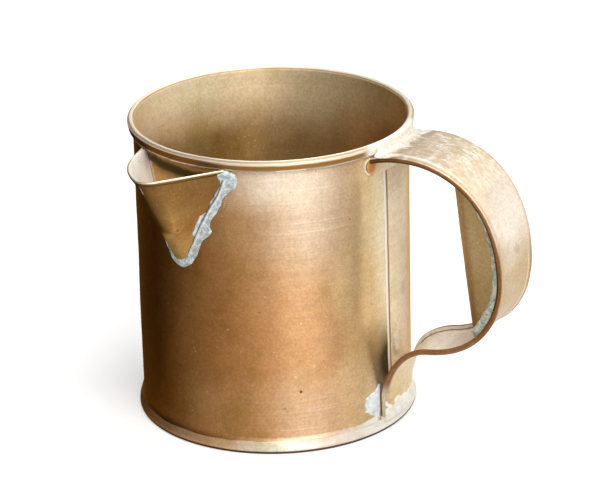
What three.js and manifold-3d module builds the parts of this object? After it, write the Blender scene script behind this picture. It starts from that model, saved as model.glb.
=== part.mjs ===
// A brass jug as a tinsmith makes it: a rolled wall with a lap seam and a wired rim, a pan-shaped bottom
// soldered on from below, a folded V spout under the rim, and a wide wired strap handle with a hollow grip.
// Millimetres, +Z up. The origin is the middle of the underside, and the handle points along +X.

import * as THREE from 'three';
import { mergeVertices } from 'three/addons/utils/BufferGeometryUtils.js';
import Module from 'manifold-3d';

const wasm = await Module();
wasm.setup();

// Body
const bodyRadius = 60;         // outside of the wall
const bodyHeight = 135;        // underside to the top of the rim
const sheet = 0.6;             // thickness of all the sheet metal
const snug = 0.15;             // gap between sheets rolled over each other
const seat = 0.3;              // gap between a piece and what it is soldered to
const wallFacets = 60;         // flats round the body

// Lap seam of the wall
const seamAngle = -8.5;        // degrees from the handle, at the rim
const seamLean = 3;            // degrees that the seam runs off over the height of the body
const joggleFacets = 2;        // flats over which the inner end comes back out to the wall

// Wired rim
const rimWire = 1.6;           // diameter of the wire in the rim
const rimDepth = 4.5;          // height of the rolled edge
const rimLean = 0.6;           // how far the roll's lower edge leans in

// Bottom pan
const panProud = 2;            // how far the turned-up edge stands out beyond the wall
const panBulge = 2.4;          // height of the widest point
const panHeight = 5.5;         // height of the turned-up edge
const panLean = 0.7;           // how far the edge leans in at its top
const panCorner = 1;           // rounding of the corner under the edge
const footFlare = 0.75;        // how far the wall opens out inside the pan
const footSolder = 3.1;        // height of the solder ring on the pan's edge

// Spout
const spoutAngle = -104;       // degrees from the handle
const spoutDrop = 4;           // hemmed edge below the top of the rim
const spoutDepth = 46.4;       // from there down to where the nose meets the wall
const spoutReach = 29.3;       // tip beyond the wall, at the top
const spoutOpening = 49;       // degrees between the two sides
const tipShift = 6.2;          // how far the tip is bent towards the handle, at the top
const tipTurn = 26;            // degrees from the tip to the flatter far part of the nose
const noseFoot = 5.8;          // radius of the nose, at the foot
const noseNear = 6.8;          // radius of the nose round the tip, at the top
const noseFar = 39.6;          // radius of its far part, at the top
const spoutHem = 1.1;          // thickness of the hem
const hemHeight = 1.8;
const strainerHole = 4.2;      // diameter
const strainerPitch = 6.2;     // between the holes of a row
const strainerStep = 5.4;      // between the rows
const strainerRows = 4;        // the top row has as many holes
const strainerDrop = 21;       // top row below the hemmed edge

// Handle strap, measured at the middle of its wired edges
const strapTop = 6.9;          // below the top of the rim, where it leaves the wall
const strapRise = 14;          // degrees upwards as it leaves the wall
const strapReach = 56;         // beyond the wall
const gripDrop = 54.5;         // furthest point below the top of the rim
const topBend = 27;            // pull of the curve at the wall
const shoulderBend = 40;       // pull of the curve above the furthest point
const heelBend = 11.5;         // pull of the curve below it
const returnReach = 21.7;      // beyond the wall, where the strap comes back
const returnHeight = 41.9;
const returnSlope = 7.2;       // degrees
const returnBend = 29;         // pull of the curve on the outside of the return
const ankleBend = 18.5;        // pull of the curve on the inside of it
const landHeight = 17;         // height where the strap lies down on the wall
const strapEnd = 6.6;          // height of its lower end
const strapWide = 37.2;        // between its edges at the wall
const strapNarrow = 25.6;      // between its edges at the lower end
const strapWire = 1;           // diameter of the wire in its edges
const wrapHeight = 42;         // below this the strap curls round the body
const tabHeight = 8.6;         // flap turned down on the wall
const tabWidth = 45;
const tabCorner = 5;
const strapStations = 32;
const wallLine = 8;            // part of the path inside the wall, cut off later

// Grip
const gripStart = 32.2;        // along the strap from the wall
const gripEnd = 122.3;
const gripCorner = 7;

// Solder
const solderThick = 1.1;
const solderWide = 4;          // bead along the spout's sides
const solderFoot = 2.2;        // the same bead under its nose
const seamSolder = 0.9;        // width of the bead along the lap
const toeReach = 6;            // fillet of the handle beyond the rim
const endSolderHeight = 3;     // solder up the face of the strap's lower end
const splashTop = 21.5;        // top of the splash beside it
const splashWide = 7.4;
const splashThick = 0.8;
const gripSolderStart = 14;    // after the start of the grip
const gripSolderEnd = 6;       // before its end
const gripSolderThin = 1.2;    // width at its upper end
const gripSolderWide = 4.4;    // width from half way down
const gripSolderThick = 0.9;

const degree = Math.PI / 180;
const rollOuter = rimWire / 2 + snug + sheet;
const rimProud = 2 * rollOuter - sheet;
const rimLow = bodyHeight - rimDepth;
const panRadius = bodyRadius + panProud;
const spoutTop = bodyHeight - spoutDrop;
const spoutFoot = spoutTop - spoutDepth;
const strainerTop = spoutTop - strainerDrop;
const facet = 360 / wallFacets;
const edgeRoll = strapWire / 2 + snug + sheet;

const brass = () => new THREE.MeshStandardMaterial({ color: 0xb58a56, roughness: 0.38, metalness: 1 });
const paleBrass = () => new THREE.MeshStandardMaterial({ color: 0xd2b48a, roughness: 0.36, metalness: 1 });
const solderGrey = () => new THREE.MeshStandardMaterial({ color: 0xc6cbc8, roughness: 0.55, metalness: 0.7 });
const steel = () => new THREE.MeshStandardMaterial({ color: 0x8c8880, roughness: 0.5, metalness: 1 });

// Geometry helpers

function around(angle, radius, z) {
  return new THREE.Vector3(radius * Math.cos(angle * degree), radius * Math.sin(angle * degree), z);
}

function smooth(value) {
  const x = THREE.MathUtils.clamp(value, 0, 1);
  return x * x * (3 - 2 * x);
}

function arc(cx, cy, radius, from, to, steps) {
  return Array.from({ length: steps + 1 }, (_, i) => {
    const angle = (from + (to - from) * i / steps) * degree;
    return new THREE.Vector2(cx + radius * Math.cos(angle), cy + radius * Math.sin(angle));
  });
}

const points = (...pairs) => pairs.map(([x, y]) => new THREE.Vector2(x, y));

// Turns the faces outwards, whichever way the outline ran.
function facingOut(geometry) {
  const position = geometry.getAttribute('position');
  const index = geometry.getIndex();
  const [a, b, c] = [new THREE.Vector3(), new THREE.Vector3(), new THREE.Vector3()];
  let volume = 0;
  for (let i = 0; i < index.count; i += 3) {
    a.fromBufferAttribute(position, index.getX(i));
    b.fromBufferAttribute(position, index.getX(i + 1));
    c.fromBufferAttribute(position, index.getX(i + 2));
    volume += a.dot(b.cross(c));
  }
  if (volume < 0) {
    for (let i = 0; i < index.count; i += 3) {
      const first = index.getX(i);
      index.setX(i, index.getX(i + 1));
      index.setX(i + 1, first);
    }
  }
  return geometry;
}

function capFaces(outline) {
  const faces = THREE.ShapeUtils.triangulateShape(outline, []);
  return THREE.ShapeUtils.isClockWise(outline) ? faces.map(([a, b, c]) => [a, c, b]) : faces;
}

// A closed solid through a row of stations. Each has an outline of the same number of points, and a
// function that places a point of it in space. A closed row has no ends.
function loft(stations, closed = false) {
  const count = stations[0].outline.length;
  const positions = stations.flatMap(({ outline, at }) => outline.flatMap((p) => at(p).toArray()));
  const index = [];
  const spans = closed ? stations.length : stations.length - 1;
  for (let i = 0; i < spans; i++) {
    const here = i * count;
    const next = ((i + 1) % stations.length) * count;
    for (let j = 0; j < count; j++) {
      const k = (j + 1) % count;
      index.push(here + j, here + k, next + k, here + j, next + k, next + j);
    }
  }
  if (!closed) {
    const end = (stations.length - 1) * count;
    capFaces(stations[0].outline).forEach(([a, b, c]) => index.push(a, c, b));
    capFaces(stations.at(-1).outline).forEach(([a, b, c]) => index.push(end + a, end + b, end + c));
  }
  const geometry = new THREE.BufferGeometry();
  geometry.setAttribute('position', new THREE.Float32BufferAttribute(positions, 3));
  geometry.setIndex(index);
  return facingOut(geometry);
}

// Cuts and joins

function solid(geometry) {
  const bare = geometry.clone();
  bare.deleteAttribute('normal');
  bare.deleteAttribute('uv');
  const merged = facingOut(mergeVertices(bare, 1e-4));
  return new wasm.Manifold(new wasm.Mesh({
    numProp: 3,
    vertProperties: new Float32Array(merged.getAttribute('position').array),
    triVerts: new Uint32Array(merged.getIndex().array),
  }));
}

function meshed(manifold) {
  const { vertProperties, triVerts } = manifold.getMesh();
  const geometry = new THREE.BufferGeometry();
  geometry.setAttribute('position', new THREE.Float32BufferAttribute(vertProperties, 3));
  geometry.setIndex(Array.from(triVerts));
  return geometry;
}

function drum(radius, from, to) {
  const geometry = new THREE.CylinderGeometry(radius, radius, to - from, wallFacets);
  return solid(geometry.rotateX(Math.PI / 2).translate(0, 0, (from + to) / 2));
}

function revolved(outline) {
  const geometry = new THREE.LatheGeometry(outline, wallFacets).rotateX(Math.PI / 2);
  return meshed(solid(geometry));
}

// Body wall

const seamAt = (z) => seamAngle + seamLean * (bodyHeight - z) / bodyHeight;
const lapTop = rimLow - 2 * snug;
const lapFoot = panHeight + sheet;

function wallStation(outline, step, shift = 0) {
  const at = (p) => around(seamAt(p.y) + step * facet, bodyRadius + p.x + shift, p.y);
  return { outline, at };
}

function joggle(step) {
  return -(sheet + snug) * (1 - smooth(step / joggleFacets));
}

function wallSheet() {
  const outline = points([-sheet, lapFoot], [0, lapFoot], [0, lapTop], [-sheet, lapTop]);
  const steps = Array.from({ length: wallFacets + 2 }, (_, i) => i - 1);
  return loft(steps.map((step) => wallStation(outline, step, joggle(step))));
}

function wallRing(outline) {
  const steps = Array.from({ length: wallFacets }, (_, i) => i);
  return loft(steps.map((step) => wallStation(outline, step)), true);
}

function rolledRim() {
  const middle = rollOuter - sheet;
  const height = bodyHeight - rollOuter;
  const inside = rollOuter - sheet;
  return wallRing([
    ...points([-sheet, lapTop - sheet], [0, lapTop - sheet]),
    ...arc(middle, height, inside, 180, 0, 4),
    ...points([middle + inside - rimLean, rimLow], [middle + rollOuter - rimLean, rimLow]),
    ...arc(middle, height, rollOuter, 0, 180, 6),
  ]);
}

function flaredFoot() {
  const low = sheet + snug;
  return wallRing(points([-sheet, lapFoot + sheet], [footFlare - sheet, low], [footFlare, low],
    [0, lapFoot + sheet]));
}

function strainerHoles() {
  const holes = [];
  for (let row = 0; row < strainerRows; row++) {
    const count = strainerRows - row;
    for (let i = 0; i < count; i++) {
      const across = (i - (count - 1) / 2) * strainerPitch;
      const hole = new THREE.CylinderGeometry(strainerHole / 2, strainerHole / 2, 8 * sheet, 12);
      hole.rotateZ(Math.PI / 2).translate(bodyRadius, 0, strainerTop - row * strainerStep);
      hole.rotateZ(spoutAngle * degree + across / bodyRadius);
      holes.push(solid(hole));
    }
  }
  return holes;
}

function bodyWall() {
  let wall = solid(wallSheet()).add(solid(rolledRim())).add(solid(flaredFoot()));
  for (const hole of strainerHoles()) {
    wall = wall.subtract(hole);
  }
  return meshed(wall);
}

function rimWireRing() {
  const middle = bodyRadius - sheet + rollOuter;
  const outline = arc(middle, bodyHeight - rollOuter, rimWire / 2, 0, 360, 6).slice(0, -1);
  return loft(Array.from({ length: wallFacets }, (_, i) => ({
    outline,
    at: (p) => around(seamAt(p.y) + i * facet, p.x, p.y),
  })), true);
}

// Bottom

function bottomPan() {
  const corner = arc(panRadius - panCorner, panCorner, panCorner, -90, 0, 3);
  const inner = arc(panRadius - panCorner, panCorner, panCorner - sheet, 0, -90, 3);
  return revolved([
    ...points([0, 0]),
    ...corner,
    ...points([panRadius, panBulge], [panRadius - panLean, panHeight]),
    ...points([panRadius - panLean - sheet, panHeight], [panRadius - sheet, panBulge]),
    ...inner,
    ...points([0, sheet]),
  ]);
}

function footSolderRing() {
  const from = Math.asin(strapNarrow / 2 / bodyRadius) / degree + facet / 2;
  const inner = bodyRadius + seat;
  const outer = panRadius - panLean;
  const low = panHeight + snug;
  const fillet = Array.from({ length: 4 }, (_, i) => {
    const up = i / 3;
    return new THREE.Vector2(inner + snug / 2 + (outer - inner) * (1 - up) ** 2, low + footSolder * up);
  });
  const outline = [...points([inner, low]), ...fillet, ...points([inner, low + footSolder])];
  const steps = wallFacets - 4;
  return loft(Array.from({ length: steps + 1 }, (_, i) => ({
    outline,
    at: (p) => around(from + (360 - 2 * from) * i / steps, p.x, p.y),
  })));
}

// Spout

const spoutNormal = 90 - spoutOpening / 2;
const noseSteps = 4;
const spoutRoot = bodyRadius - 10;   // the sides start inside the wall and are cut off at it
const spoutDip = 4;                  // so does the nose, this far below its foot

// The nose of the spout at a height: two arcs that meet at the turn, the near one round the tip.
function noseArcs(z) {
  const up = (z - spoutFoot) / (spoutTop - spoutFoot);
  const turn = around(-tipTurn, 1, 0);
  const nearRadius = THREE.MathUtils.lerp(noseFoot, noseNear, Math.max(up, 0));
  const farRadius = THREE.MathUtils.lerp(noseFoot, noseFar, Math.max(up, 0));
  const nearCentre = new THREE.Vector2(bodyRadius + spoutReach * up - nearRadius, tipShift * up);
  const farCentre = nearCentre.clone().addScaledVector(turn, nearRadius - farRadius);
  return [{ centre: nearCentre, radius: nearRadius }, { centre: farCentre, radius: farRadius }];
}

// The plan of the spout at a height: two straight sides and the nose. Each point has its normal.
function spoutPlan(z) {
  const [near, far] = noseArcs(z);
  const onArc = ({ centre, radius }, angle) => {
    const normal = new THREE.Vector2(Math.cos(angle * degree), Math.sin(angle * degree));
    return { point: centre.clone().addScaledVector(normal, radius), normal };
  };
  const share = Array.from({ length: noseSteps + 1 }, (_, i) => i / noseSteps);
  const nose = [
    ...share.map((at) => onArc(near, THREE.MathUtils.lerp(spoutNormal, -tipTurn, at))),
    ...share.slice(1).map((at) => onArc(far, THREE.MathUtils.lerp(-tipTurn, -spoutNormal, at))),
  ];
  const side = (end) => {
    const along = new THREE.Vector2(-Math.abs(end.normal.y), end.normal.x * Math.sign(end.normal.y));
    const length = (spoutRoot - end.point.x) / along.x;
    return [1, 0.5].map((share) => ({
      point: end.point.clone().addScaledVector(along, length * share),
      normal: end.normal,
    }));
  };
  return [...side(nose[0]), ...nose, ...side(nose.at(-1)).reverse()];
}

function spoutSheet() {
  const bottom = spoutPlan(spoutFoot - spoutDip);
  const top = spoutPlan(spoutTop);
  const height = spoutTop - spoutFoot + spoutDip;
  const hemFoot = height - hemHeight;
  const round = sheet / 2;
  const outline = points([-sheet, 0], [0, 0], [0, hemFoot - round], [spoutHem - sheet, hemFoot],
    [spoutHem - sheet, height - round], [spoutHem - sheet - round, height],
    [round - sheet, height], [-sheet, height - round]);
  return loft(top.map((end, i) => ({
    outline,
    at: (p) => {
      const up = p.y / height;
      const point = bottom[i].point.clone().lerp(end.point, up);
      const normal = bottom[i].normal.clone().lerp(end.normal, up).normalize();
      point.addScaledVector(normal, p.x);
      const turned = point.rotateAround(new THREE.Vector2(), spoutAngle * degree);
      return new THREE.Vector3(turned.x, turned.y, spoutFoot - spoutDip + p.y);
    },
  })));
}

function spoutShell() {
  const body = drum(bodyRadius + seat, 0, bodyHeight);
  const rim = drum(bodyRadius + rimProud + seat, rimLow - seat, bodyHeight + seat);
  return meshed(solid(spoutSheet()).subtract(body).subtract(rim));
}

// Handle strap. The path lies in the XZ plane and is followed by the middle of the wired edges.

const landReach = bodyRadius + seat + edgeRoll;

function strapPath() {
  const rise = new THREE.Vector2(Math.cos(strapRise * degree), Math.sin(strapRise * degree));
  const back = new THREE.Vector2(Math.cos(returnSlope * degree), Math.sin(returnSlope * degree));
  const leave = new THREE.Vector2(bodyRadius, bodyHeight - strapTop);
  const furthest = new THREE.Vector2(bodyRadius + strapReach, bodyHeight - gripDrop);
  const comeBack = new THREE.Vector2(bodyRadius + returnReach, returnHeight);
  const land = new THREE.Vector2(landReach, landHeight);
  const path = new THREE.CurvePath();
  path.add(new THREE.LineCurve(leave.clone().addScaledVector(rise, -wallLine), leave));
  path.add(new THREE.CubicBezierCurve(leave, leave.clone().addScaledVector(rise, topBend),
    new THREE.Vector2(furthest.x, furthest.y + shoulderBend), furthest));
  path.add(new THREE.CubicBezierCurve(furthest, new THREE.Vector2(furthest.x, furthest.y - heelBend),
    comeBack.clone().addScaledVector(back, returnBend), comeBack));
  path.add(new THREE.CubicBezierCurve(comeBack, comeBack.clone().addScaledVector(back, -ankleBend),
    new THREE.Vector2(land.x, land.y + snug), land));
  path.add(new THREE.LineCurve(land, new THREE.Vector2(land.x, strapEnd)));
  return path;
}

const path = strapPath();
const pathLength = path.getLength();
const halfWidth = (along) => THREE.MathUtils.lerp(strapWide, strapNarrow, along / pathLength) / 2;

function pathFrame(along) {
  const share = THREE.MathUtils.clamp(along / pathLength, 0, 1);
  const point = path.getPointAt(share);
  const tangent = path.getTangentAt(share);
  return { point, tangent, normal: new THREE.Vector2(-tangent.y, tangent.x) };
}

// A point of the strap: so far along, across, and out from the middle of the wired edges. The lower
// end is bent round the wall.
function onStrap(along, across, out) {
  const { point, normal } = pathFrame(along);
  const place = point.addScaledVector(normal, out);
  const sag = bodyRadius - Math.sqrt(bodyRadius ** 2 - across ** 2);
  const near = smooth((wrapHeight - place.y) / (wrapHeight - landHeight));
  return new THREE.Vector3(place.x - sag * near, across, place.y);
}

function strapOutline(half) {
  const top = points([half / 2, edgeRoll], [0, edgeRoll], [-half / 2, edgeRoll]);
  const under = points([-half / 2, edgeRoll - sheet], [0, edgeRoll - sheet], [half / 2, edgeRoll - sheet]);
  const inside = edgeRoll - sheet;
  return [
    ...top,
    ...arc(-half, 0, edgeRoll, 90, 375, 6),
    ...arc(-half, 0, inside, 375, 90, 5),
    ...under,
    ...arc(half, 0, inside, 90, -195, 5),
    ...arc(half, 0, edgeRoll, -195, 90, 6),
  ];
}

const strapLine = Array.from({ length: strapStations + 1 }, (_, i) => pathLength * i / strapStations);

function strapSheet() {
  return loft(strapLine.map((along) => ({
    outline: strapOutline(halfWidth(along)),
    at: (p) => onStrap(along, p.x, p.y),
  })));
}

// The flap that turns down on the wall, with its lower corners rounded.
function strapTab() {
  const steps = 14;
  const inner = bodyRadius + seat;
  const top = bodyHeight - strapTop + edgeRoll - sheet / 2;
  return loft(Array.from({ length: steps + 1 }, (_, i) => {
    const across = tabWidth * (i / steps - 0.5);
    const over = Math.max(0, Math.abs(across) - tabWidth / 2 + tabCorner);
    const low = top - tabHeight + tabCorner - Math.sqrt(tabCorner ** 2 - over ** 2);
    const outline = points([inner, low], [inner + sheet, low], [inner + sheet, top], [inner, top]);
    return { outline, at: (p) => around(across / bodyRadius / degree, p.x, p.y) };
  }));
}

function handleStrap() {
  const body = drum(bodyRadius + seat, 0, bodyHeight);
  return meshed(solid(strapSheet()).subtract(body).add(solid(strapTab())));
}

// The wire in one edge of the strap. It ends just short of the flap.
function edgeWire(side) {
  const outline = arc(0, 0, strapWire / 2, 0, 360, 6).slice(0, -1);
  const beyondFlap = (along) => {
    const place = onStrap(along, halfWidth(along), 0);
    const reach = Math.hypot(place.x, place.y);
    return along > pathLength / 2 || reach > bodyRadius + 2 * seat + sheet + strapWire / 2;
  };
  return loft(strapLine.filter(beyondFlap).map((along) => ({
    outline,
    at: (p) => onStrap(along, side * halfWidth(along) + p.x, p.y),
  })));
}

// Grip: a sheet bent to a U and soldered under the strap, so that the strap closes it.

const gripLean = () => {
  const start = onStrap(wallLine + gripStart, 0, edgeRoll - sheet);
  const end = onStrap(wallLine + gripEnd, 0, edgeRoll - sheet);
  return { start, end, length: start.distanceTo(end), angle: Math.atan2(end.x - start.x, start.z - end.z) };
};

function gripHalf(share) {
  const along = wallLine + THREE.MathUtils.lerp(gripStart, gripEnd, share);
  return halfWidth(along) - edgeRoll - seat;
}

function gripTrough() {
  const { start, end, length, angle } = gripLean();
  const depth = strapReach;
  const stations = 5;
  const spare = 6;
  const middle = start.clone().add(end).multiplyScalar(0.5);
  return loft(Array.from({ length: stations }, (_, i) => {
    const share = i / (stations - 1);
    const half = gripHalf(share);
    const outline = [
      ...points([depth, half]),
      ...arc(gripCorner, half - gripCorner, gripCorner, 90, 180, 4),
      ...arc(gripCorner, gripCorner - half, gripCorner, 180, 270, 4),
      ...points([depth, -half], [depth, sheet - half]),
      ...arc(gripCorner, gripCorner - half, gripCorner - sheet, 270, 180, 4),
      ...arc(gripCorner, half - gripCorner, gripCorner - sheet, 180, 90, 4),
      ...points([depth, half - sheet]),
    ];
    const up = (length / 2 + spare) * (1 - 2 * share);
    return {
      outline,
      at: (p) => new THREE.Vector3(
        middle.x + p.x * Math.cos(angle) - up * Math.sin(angle),
        p.y,
        middle.z + p.x * Math.sin(angle) + up * Math.cos(angle),
      ),
    };
  }));
}

function strapInside() {
  const stations = strapStations;
  const edge = Array.from({ length: stations + 1 }, (_, i) => {
    const along = wallLine + gripStart / 2 + (gripEnd + gripStart / 4 - gripStart / 2) * i / stations;
    const { point, normal } = pathFrame(along);
    return point.addScaledVector(normal, edgeRoll - sheet - seat);
  });
  const shape = new THREE.Shape(edge);
  const geometry = new THREE.ExtrudeGeometry(shape, { depth: strapWide, bevelEnabled: false });
  return solid(geometry.translate(0, 0, -strapWide / 2).rotateX(Math.PI / 2));
}

function gripShell() {
  return meshed(solid(gripTrough()).intersect(strapInside()));
}

// Solder

// A bead that lies on the wall. Its line is given along the wall and up; the bead's half width may vary.
function wallBead(line, half, steps, thick = solderThick) {
  const base = bodyRadius + seat;
  return loft(Array.from({ length: steps + 1 }, (_, i) => {
    const share = i / steps;
    const point = line.getPointAt(share);
    const tangent = line.getTangentAt(share);
    const width = half(share);
    const dome = arc(0, 0, 1, 0, 180, 4).map((p) => new THREE.Vector2(p.x * width, p.y * thick));
    return {
      outline: dome,
      at: (p) => {
        const along = point.x + tangent.y * p.x;
        return around(along / bodyRadius / degree, base + p.y, point.y - tangent.x * p.x);
      },
    };
  }));
}

// Where the outside of the spout meets the wall at a height, as a distance along the wall.
function spoutEdge(z, side) {
  const [near, far] = noseArcs(z);
  const { centre, radius } = side > 0 ? near : far;
  const normal = around(side * spoutNormal, 1, 0);
  const angle = spoutNormal * degree - Math.acos((centre.dot(normal) + radius) / bodyRadius);
  return (spoutAngle * degree + side * angle) * bodyRadius;
}

function spoutSolder() {
  const top = spoutTop - hemHeight - seat - solderWide / 4;
  const low = spoutFoot + noseFoot;
  const clear = solderWide / 2 + 2 * seat;
  const clearFoot = solderFoot / 2 + 2 * seat;
  const foot = spoutFoot - clearFoot;
  const middle = spoutAngle * degree * bodyRadius;
  const near = new THREE.Vector2(spoutEdge(low, 1) + clear, low);
  const far = new THREE.Vector2(spoutEdge(low, -1) - clear, low);
  const line = new THREE.CurvePath();
  line.add(new THREE.LineCurve(new THREE.Vector2(spoutEdge(top, 1) + clear, top), near));
  const heel = foot + (low - foot) * 0.4;
  const bottom = new THREE.Vector2(middle, foot);
  line.add(new THREE.CubicBezierCurve(near, new THREE.Vector2(near.x - clear / 4, heel),
    new THREE.Vector2(middle + noseFoot / 2 + clearFoot, foot), bottom));
  line.add(new THREE.CubicBezierCurve(bottom, new THREE.Vector2(middle - noseFoot / 2 - clearFoot, foot),
    new THREE.Vector2(far.x + clear / 4, heel), far));
  line.add(new THREE.LineCurve(far, new THREE.Vector2(spoutEdge(top, -1) - clear, top)));
  const half = (share) => THREE.MathUtils.lerp(solderFoot, solderWide, smooth(5 * Math.abs(share - 0.5))) / 2;
  return wallBead(line, half, 32);
}

function seamSolderBead() {
  const stations = 6;
  const low = lapFoot + footSolder + 2 * seat;
  const top = bodyHeight - strapTop - tabHeight - seat;
  const outline = points([0, -sheet + snug], [0, -snug / 2], [seamSolder, -sheet / 2 - snug],
    [seamSolder, -sheet + snug]);
  return loft(Array.from({ length: stations }, (_, i) => {
    const z = low + (top - low) * i / (stations - 1);
    const start = seamAt(z) + seat / bodyRadius / degree;
    return { outline, at: (p) => around(start + p.x / bodyRadius / degree, bodyRadius + p.y, z) };
  }));
}

// The height of the strap's upper face at a distance from the axis, near the wall.
function strapUpper(x) {
  let low = 0;
  let high = wallLine + gripStart;
  for (let i = 0; i < 24; i++) {
    const middle = (low + high) / 2;
    const place = onStrap(middle, 0, edgeRoll);
    if (place.x < x) {
      low = middle;
    } else {
      high = middle;
    }
  }
  return onStrap(low, 0, edgeRoll).z;
}

// The fillet between the rolled rim and the upper face of the strap.
function topFillet() {
  const stations = 14;
  const inner = bodyRadius + rimProud + seat;
  const spread = Math.asin((strapWide / 2 - sheet) / inner) / degree;
  const shelf = bodyHeight - rollOuter;
  return loft(Array.from({ length: stations + 1 }, (_, i) => {
    const angle = spread * (2 * i / stations - 1);
    const toe = toeReach * (1 - 0.6 * (2 * i / stations - 1) ** 2);
    const floor = (r) => strapUpper(r * Math.cos(angle * degree)) + seat;
    const steps = 3;
    const under = Array.from({ length: steps + 1 }, (__, j) => {
      const r = inner + toe * (1 - j / steps);
      return new THREE.Vector2(r, floor(r));
    });
    const over = Array.from({ length: steps + 1 }, (__, j) => {
      const share = j / steps;
      const r = inner + toe * share;
      const rise = (shelf - floor(inner)) * (1 - share) ** 2;
      return new THREE.Vector2(r, floor(r) + snug + rise);
    });
    return { outline: [...over, ...under], at: (p) => around(angle, p.x, p.y) };
  }));
}

// Solder over the strap's lower end, down to the edge of the pan.
function endSolder() {
  const stations = 8;
  const low = panHeight + 2 * snug;
  const face = landReach + edgeRoll + seat;
  const spread = Math.asin(strapNarrow / 2 / bodyRadius) / degree;
  const outline = points([bodyRadius + 2 * seat, low], [face + sheet, low], [face + sheet * 1.2, strapEnd],
    [face + sheet / 2, strapEnd + endSolderHeight], [face, strapEnd + endSolderHeight], [face, strapEnd - seat],
    [bodyRadius + 2 * seat, strapEnd - seat]);
  return loft(Array.from({ length: stations + 1 }, (_, i) => ({
    outline,
    at: (p) => around(spread * (2 * i / stations - 1), p.x, p.y),
  })));
}

// A splash of solder on the wall beside the strap's lower end.
function sideSplash() {
  const middle = -strapNarrow / 2 - edgeRoll - 2 * seat - splashWide / 2;
  const foot = panHeight + snug + footSolder + seat;
  const line = new THREE.LineCurve(new THREE.Vector2(middle, foot), new THREE.Vector2(middle, splashTop));
  const half = (share) => splashWide / 2 * Math.sqrt(Math.max(0.04, Math.sin(Math.PI * share)));
  return wallBead(line, half, 8, splashThick);
}

// Solder in the corner between the grip's side and the wired edge, widest low down.
function gripSolder(side) {
  const stations = 16;
  const from = wallLine + gripStart + gripSolderStart;
  const to = wallLine + gripEnd - gripSolderEnd;
  return loft(Array.from({ length: stations + 1 }, (_, i) => {
    const share = i / stations;
    const along = from + (to - from) * share;
    const face = gripHalf((along - wallLine - gripStart) / (gripEnd - gripStart)) + seat;
    const width = THREE.MathUtils.lerp(gripSolderThin, gripSolderWide, smooth(2 * share));
    const near = -edgeRoll - seat;
    const outline = points([face, near], [face + gripSolderThick, near],
      [face + gripSolderThick * 0.8, near - width * 0.6], [face + seat / 2, near - width],
      [face, near - width]);
    return { outline, at: (p) => onStrap(along, side * p.x, p.y) };
  }));
}

// The assembly

const jug = new THREE.Group();

function place(name, geometry, material) {
  const mesh = new THREE.Mesh(geometry, material());
  mesh.name = name;
  jug.add(mesh);
}

place('body_wall', bodyWall(), brass);
place('rim_wire', rimWireRing(), steel);
place('bottom_pan', bottomPan(), brass);
place('spout', spoutShell(), brass);
place('handle_strap', handleStrap(), paleBrass);
place('handle_wire_near', edgeWire(-1), steel);
place('handle_wire_far', edgeWire(1), steel);
place('handle_grip', gripShell(), brass);
place('solder_foot', footSolderRing(), solderGrey);
place('solder_seam', seamSolderBead(), solderGrey);
place('solder_spout', spoutSolder(), solderGrey);
place('solder_handle_top', topFillet(), solderGrey);
place('solder_handle_end', endSolder(), solderGrey);
place('solder_handle_side', sideSplash(), solderGrey);
place('solder_grip_near', gripSolder(-1), solderGrey);
place('solder_grip_far', gripSolder(1), solderGrey);

export default jug;
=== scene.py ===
"""The looks of a brass jug: finely meshed sheet metal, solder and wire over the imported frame.

Shapes are worked out in millimetres, with +Z up and the handle along +X, and become metres in the mesh.
"""

import math
from types import SimpleNamespace

import bmesh
import bpy
import numpy as np
from mathutils import Matrix, Vector

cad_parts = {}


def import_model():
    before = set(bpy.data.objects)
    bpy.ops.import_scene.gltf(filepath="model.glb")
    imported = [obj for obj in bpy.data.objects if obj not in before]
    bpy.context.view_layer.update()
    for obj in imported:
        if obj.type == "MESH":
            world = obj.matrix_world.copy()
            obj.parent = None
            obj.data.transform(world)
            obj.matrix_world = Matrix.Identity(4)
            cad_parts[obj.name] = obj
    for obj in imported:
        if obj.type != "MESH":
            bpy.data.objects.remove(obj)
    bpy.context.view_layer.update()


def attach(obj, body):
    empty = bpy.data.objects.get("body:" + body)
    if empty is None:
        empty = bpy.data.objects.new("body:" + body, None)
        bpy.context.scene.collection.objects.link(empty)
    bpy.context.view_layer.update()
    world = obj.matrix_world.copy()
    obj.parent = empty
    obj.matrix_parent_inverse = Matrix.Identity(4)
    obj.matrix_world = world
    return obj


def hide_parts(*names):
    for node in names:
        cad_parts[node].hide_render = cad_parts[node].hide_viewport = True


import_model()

MM = 0.001                   # a millimetre in metres
FRONT = 62.0                 # degrees from the photograph's front to the handle
AXIS = 0.01                  # where outlines that reach the axis end

# Body
BODY_RADIUS = 60.0
BODY_HEIGHT = 135.0
SHEET = 0.6
SNUG = 0.15
SEAT = 0.3
SEAM_ANGLE = -8.5
SEAM_LEAN = 3.0
JOGGLE = 12.0                # degrees over which the inner end comes back out
RIM_WIRE = 1.6
RIM_DEPTH = 4.5
RIM_LEAN = 0.6
ROLL_OUTER = RIM_WIRE / 2 + SNUG + SHEET
RIM_PROUD = 2 * ROLL_OUTER - SHEET
FOOT_FLARE = 0.75

# Bottom pan
PAN_RADIUS = BODY_RADIUS + 2.0
PAN_HEIGHT = 5.5
PAN_BULGE = 2.4
PAN_LEAN = 0.7
PAN_CORNER = 1.0

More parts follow.
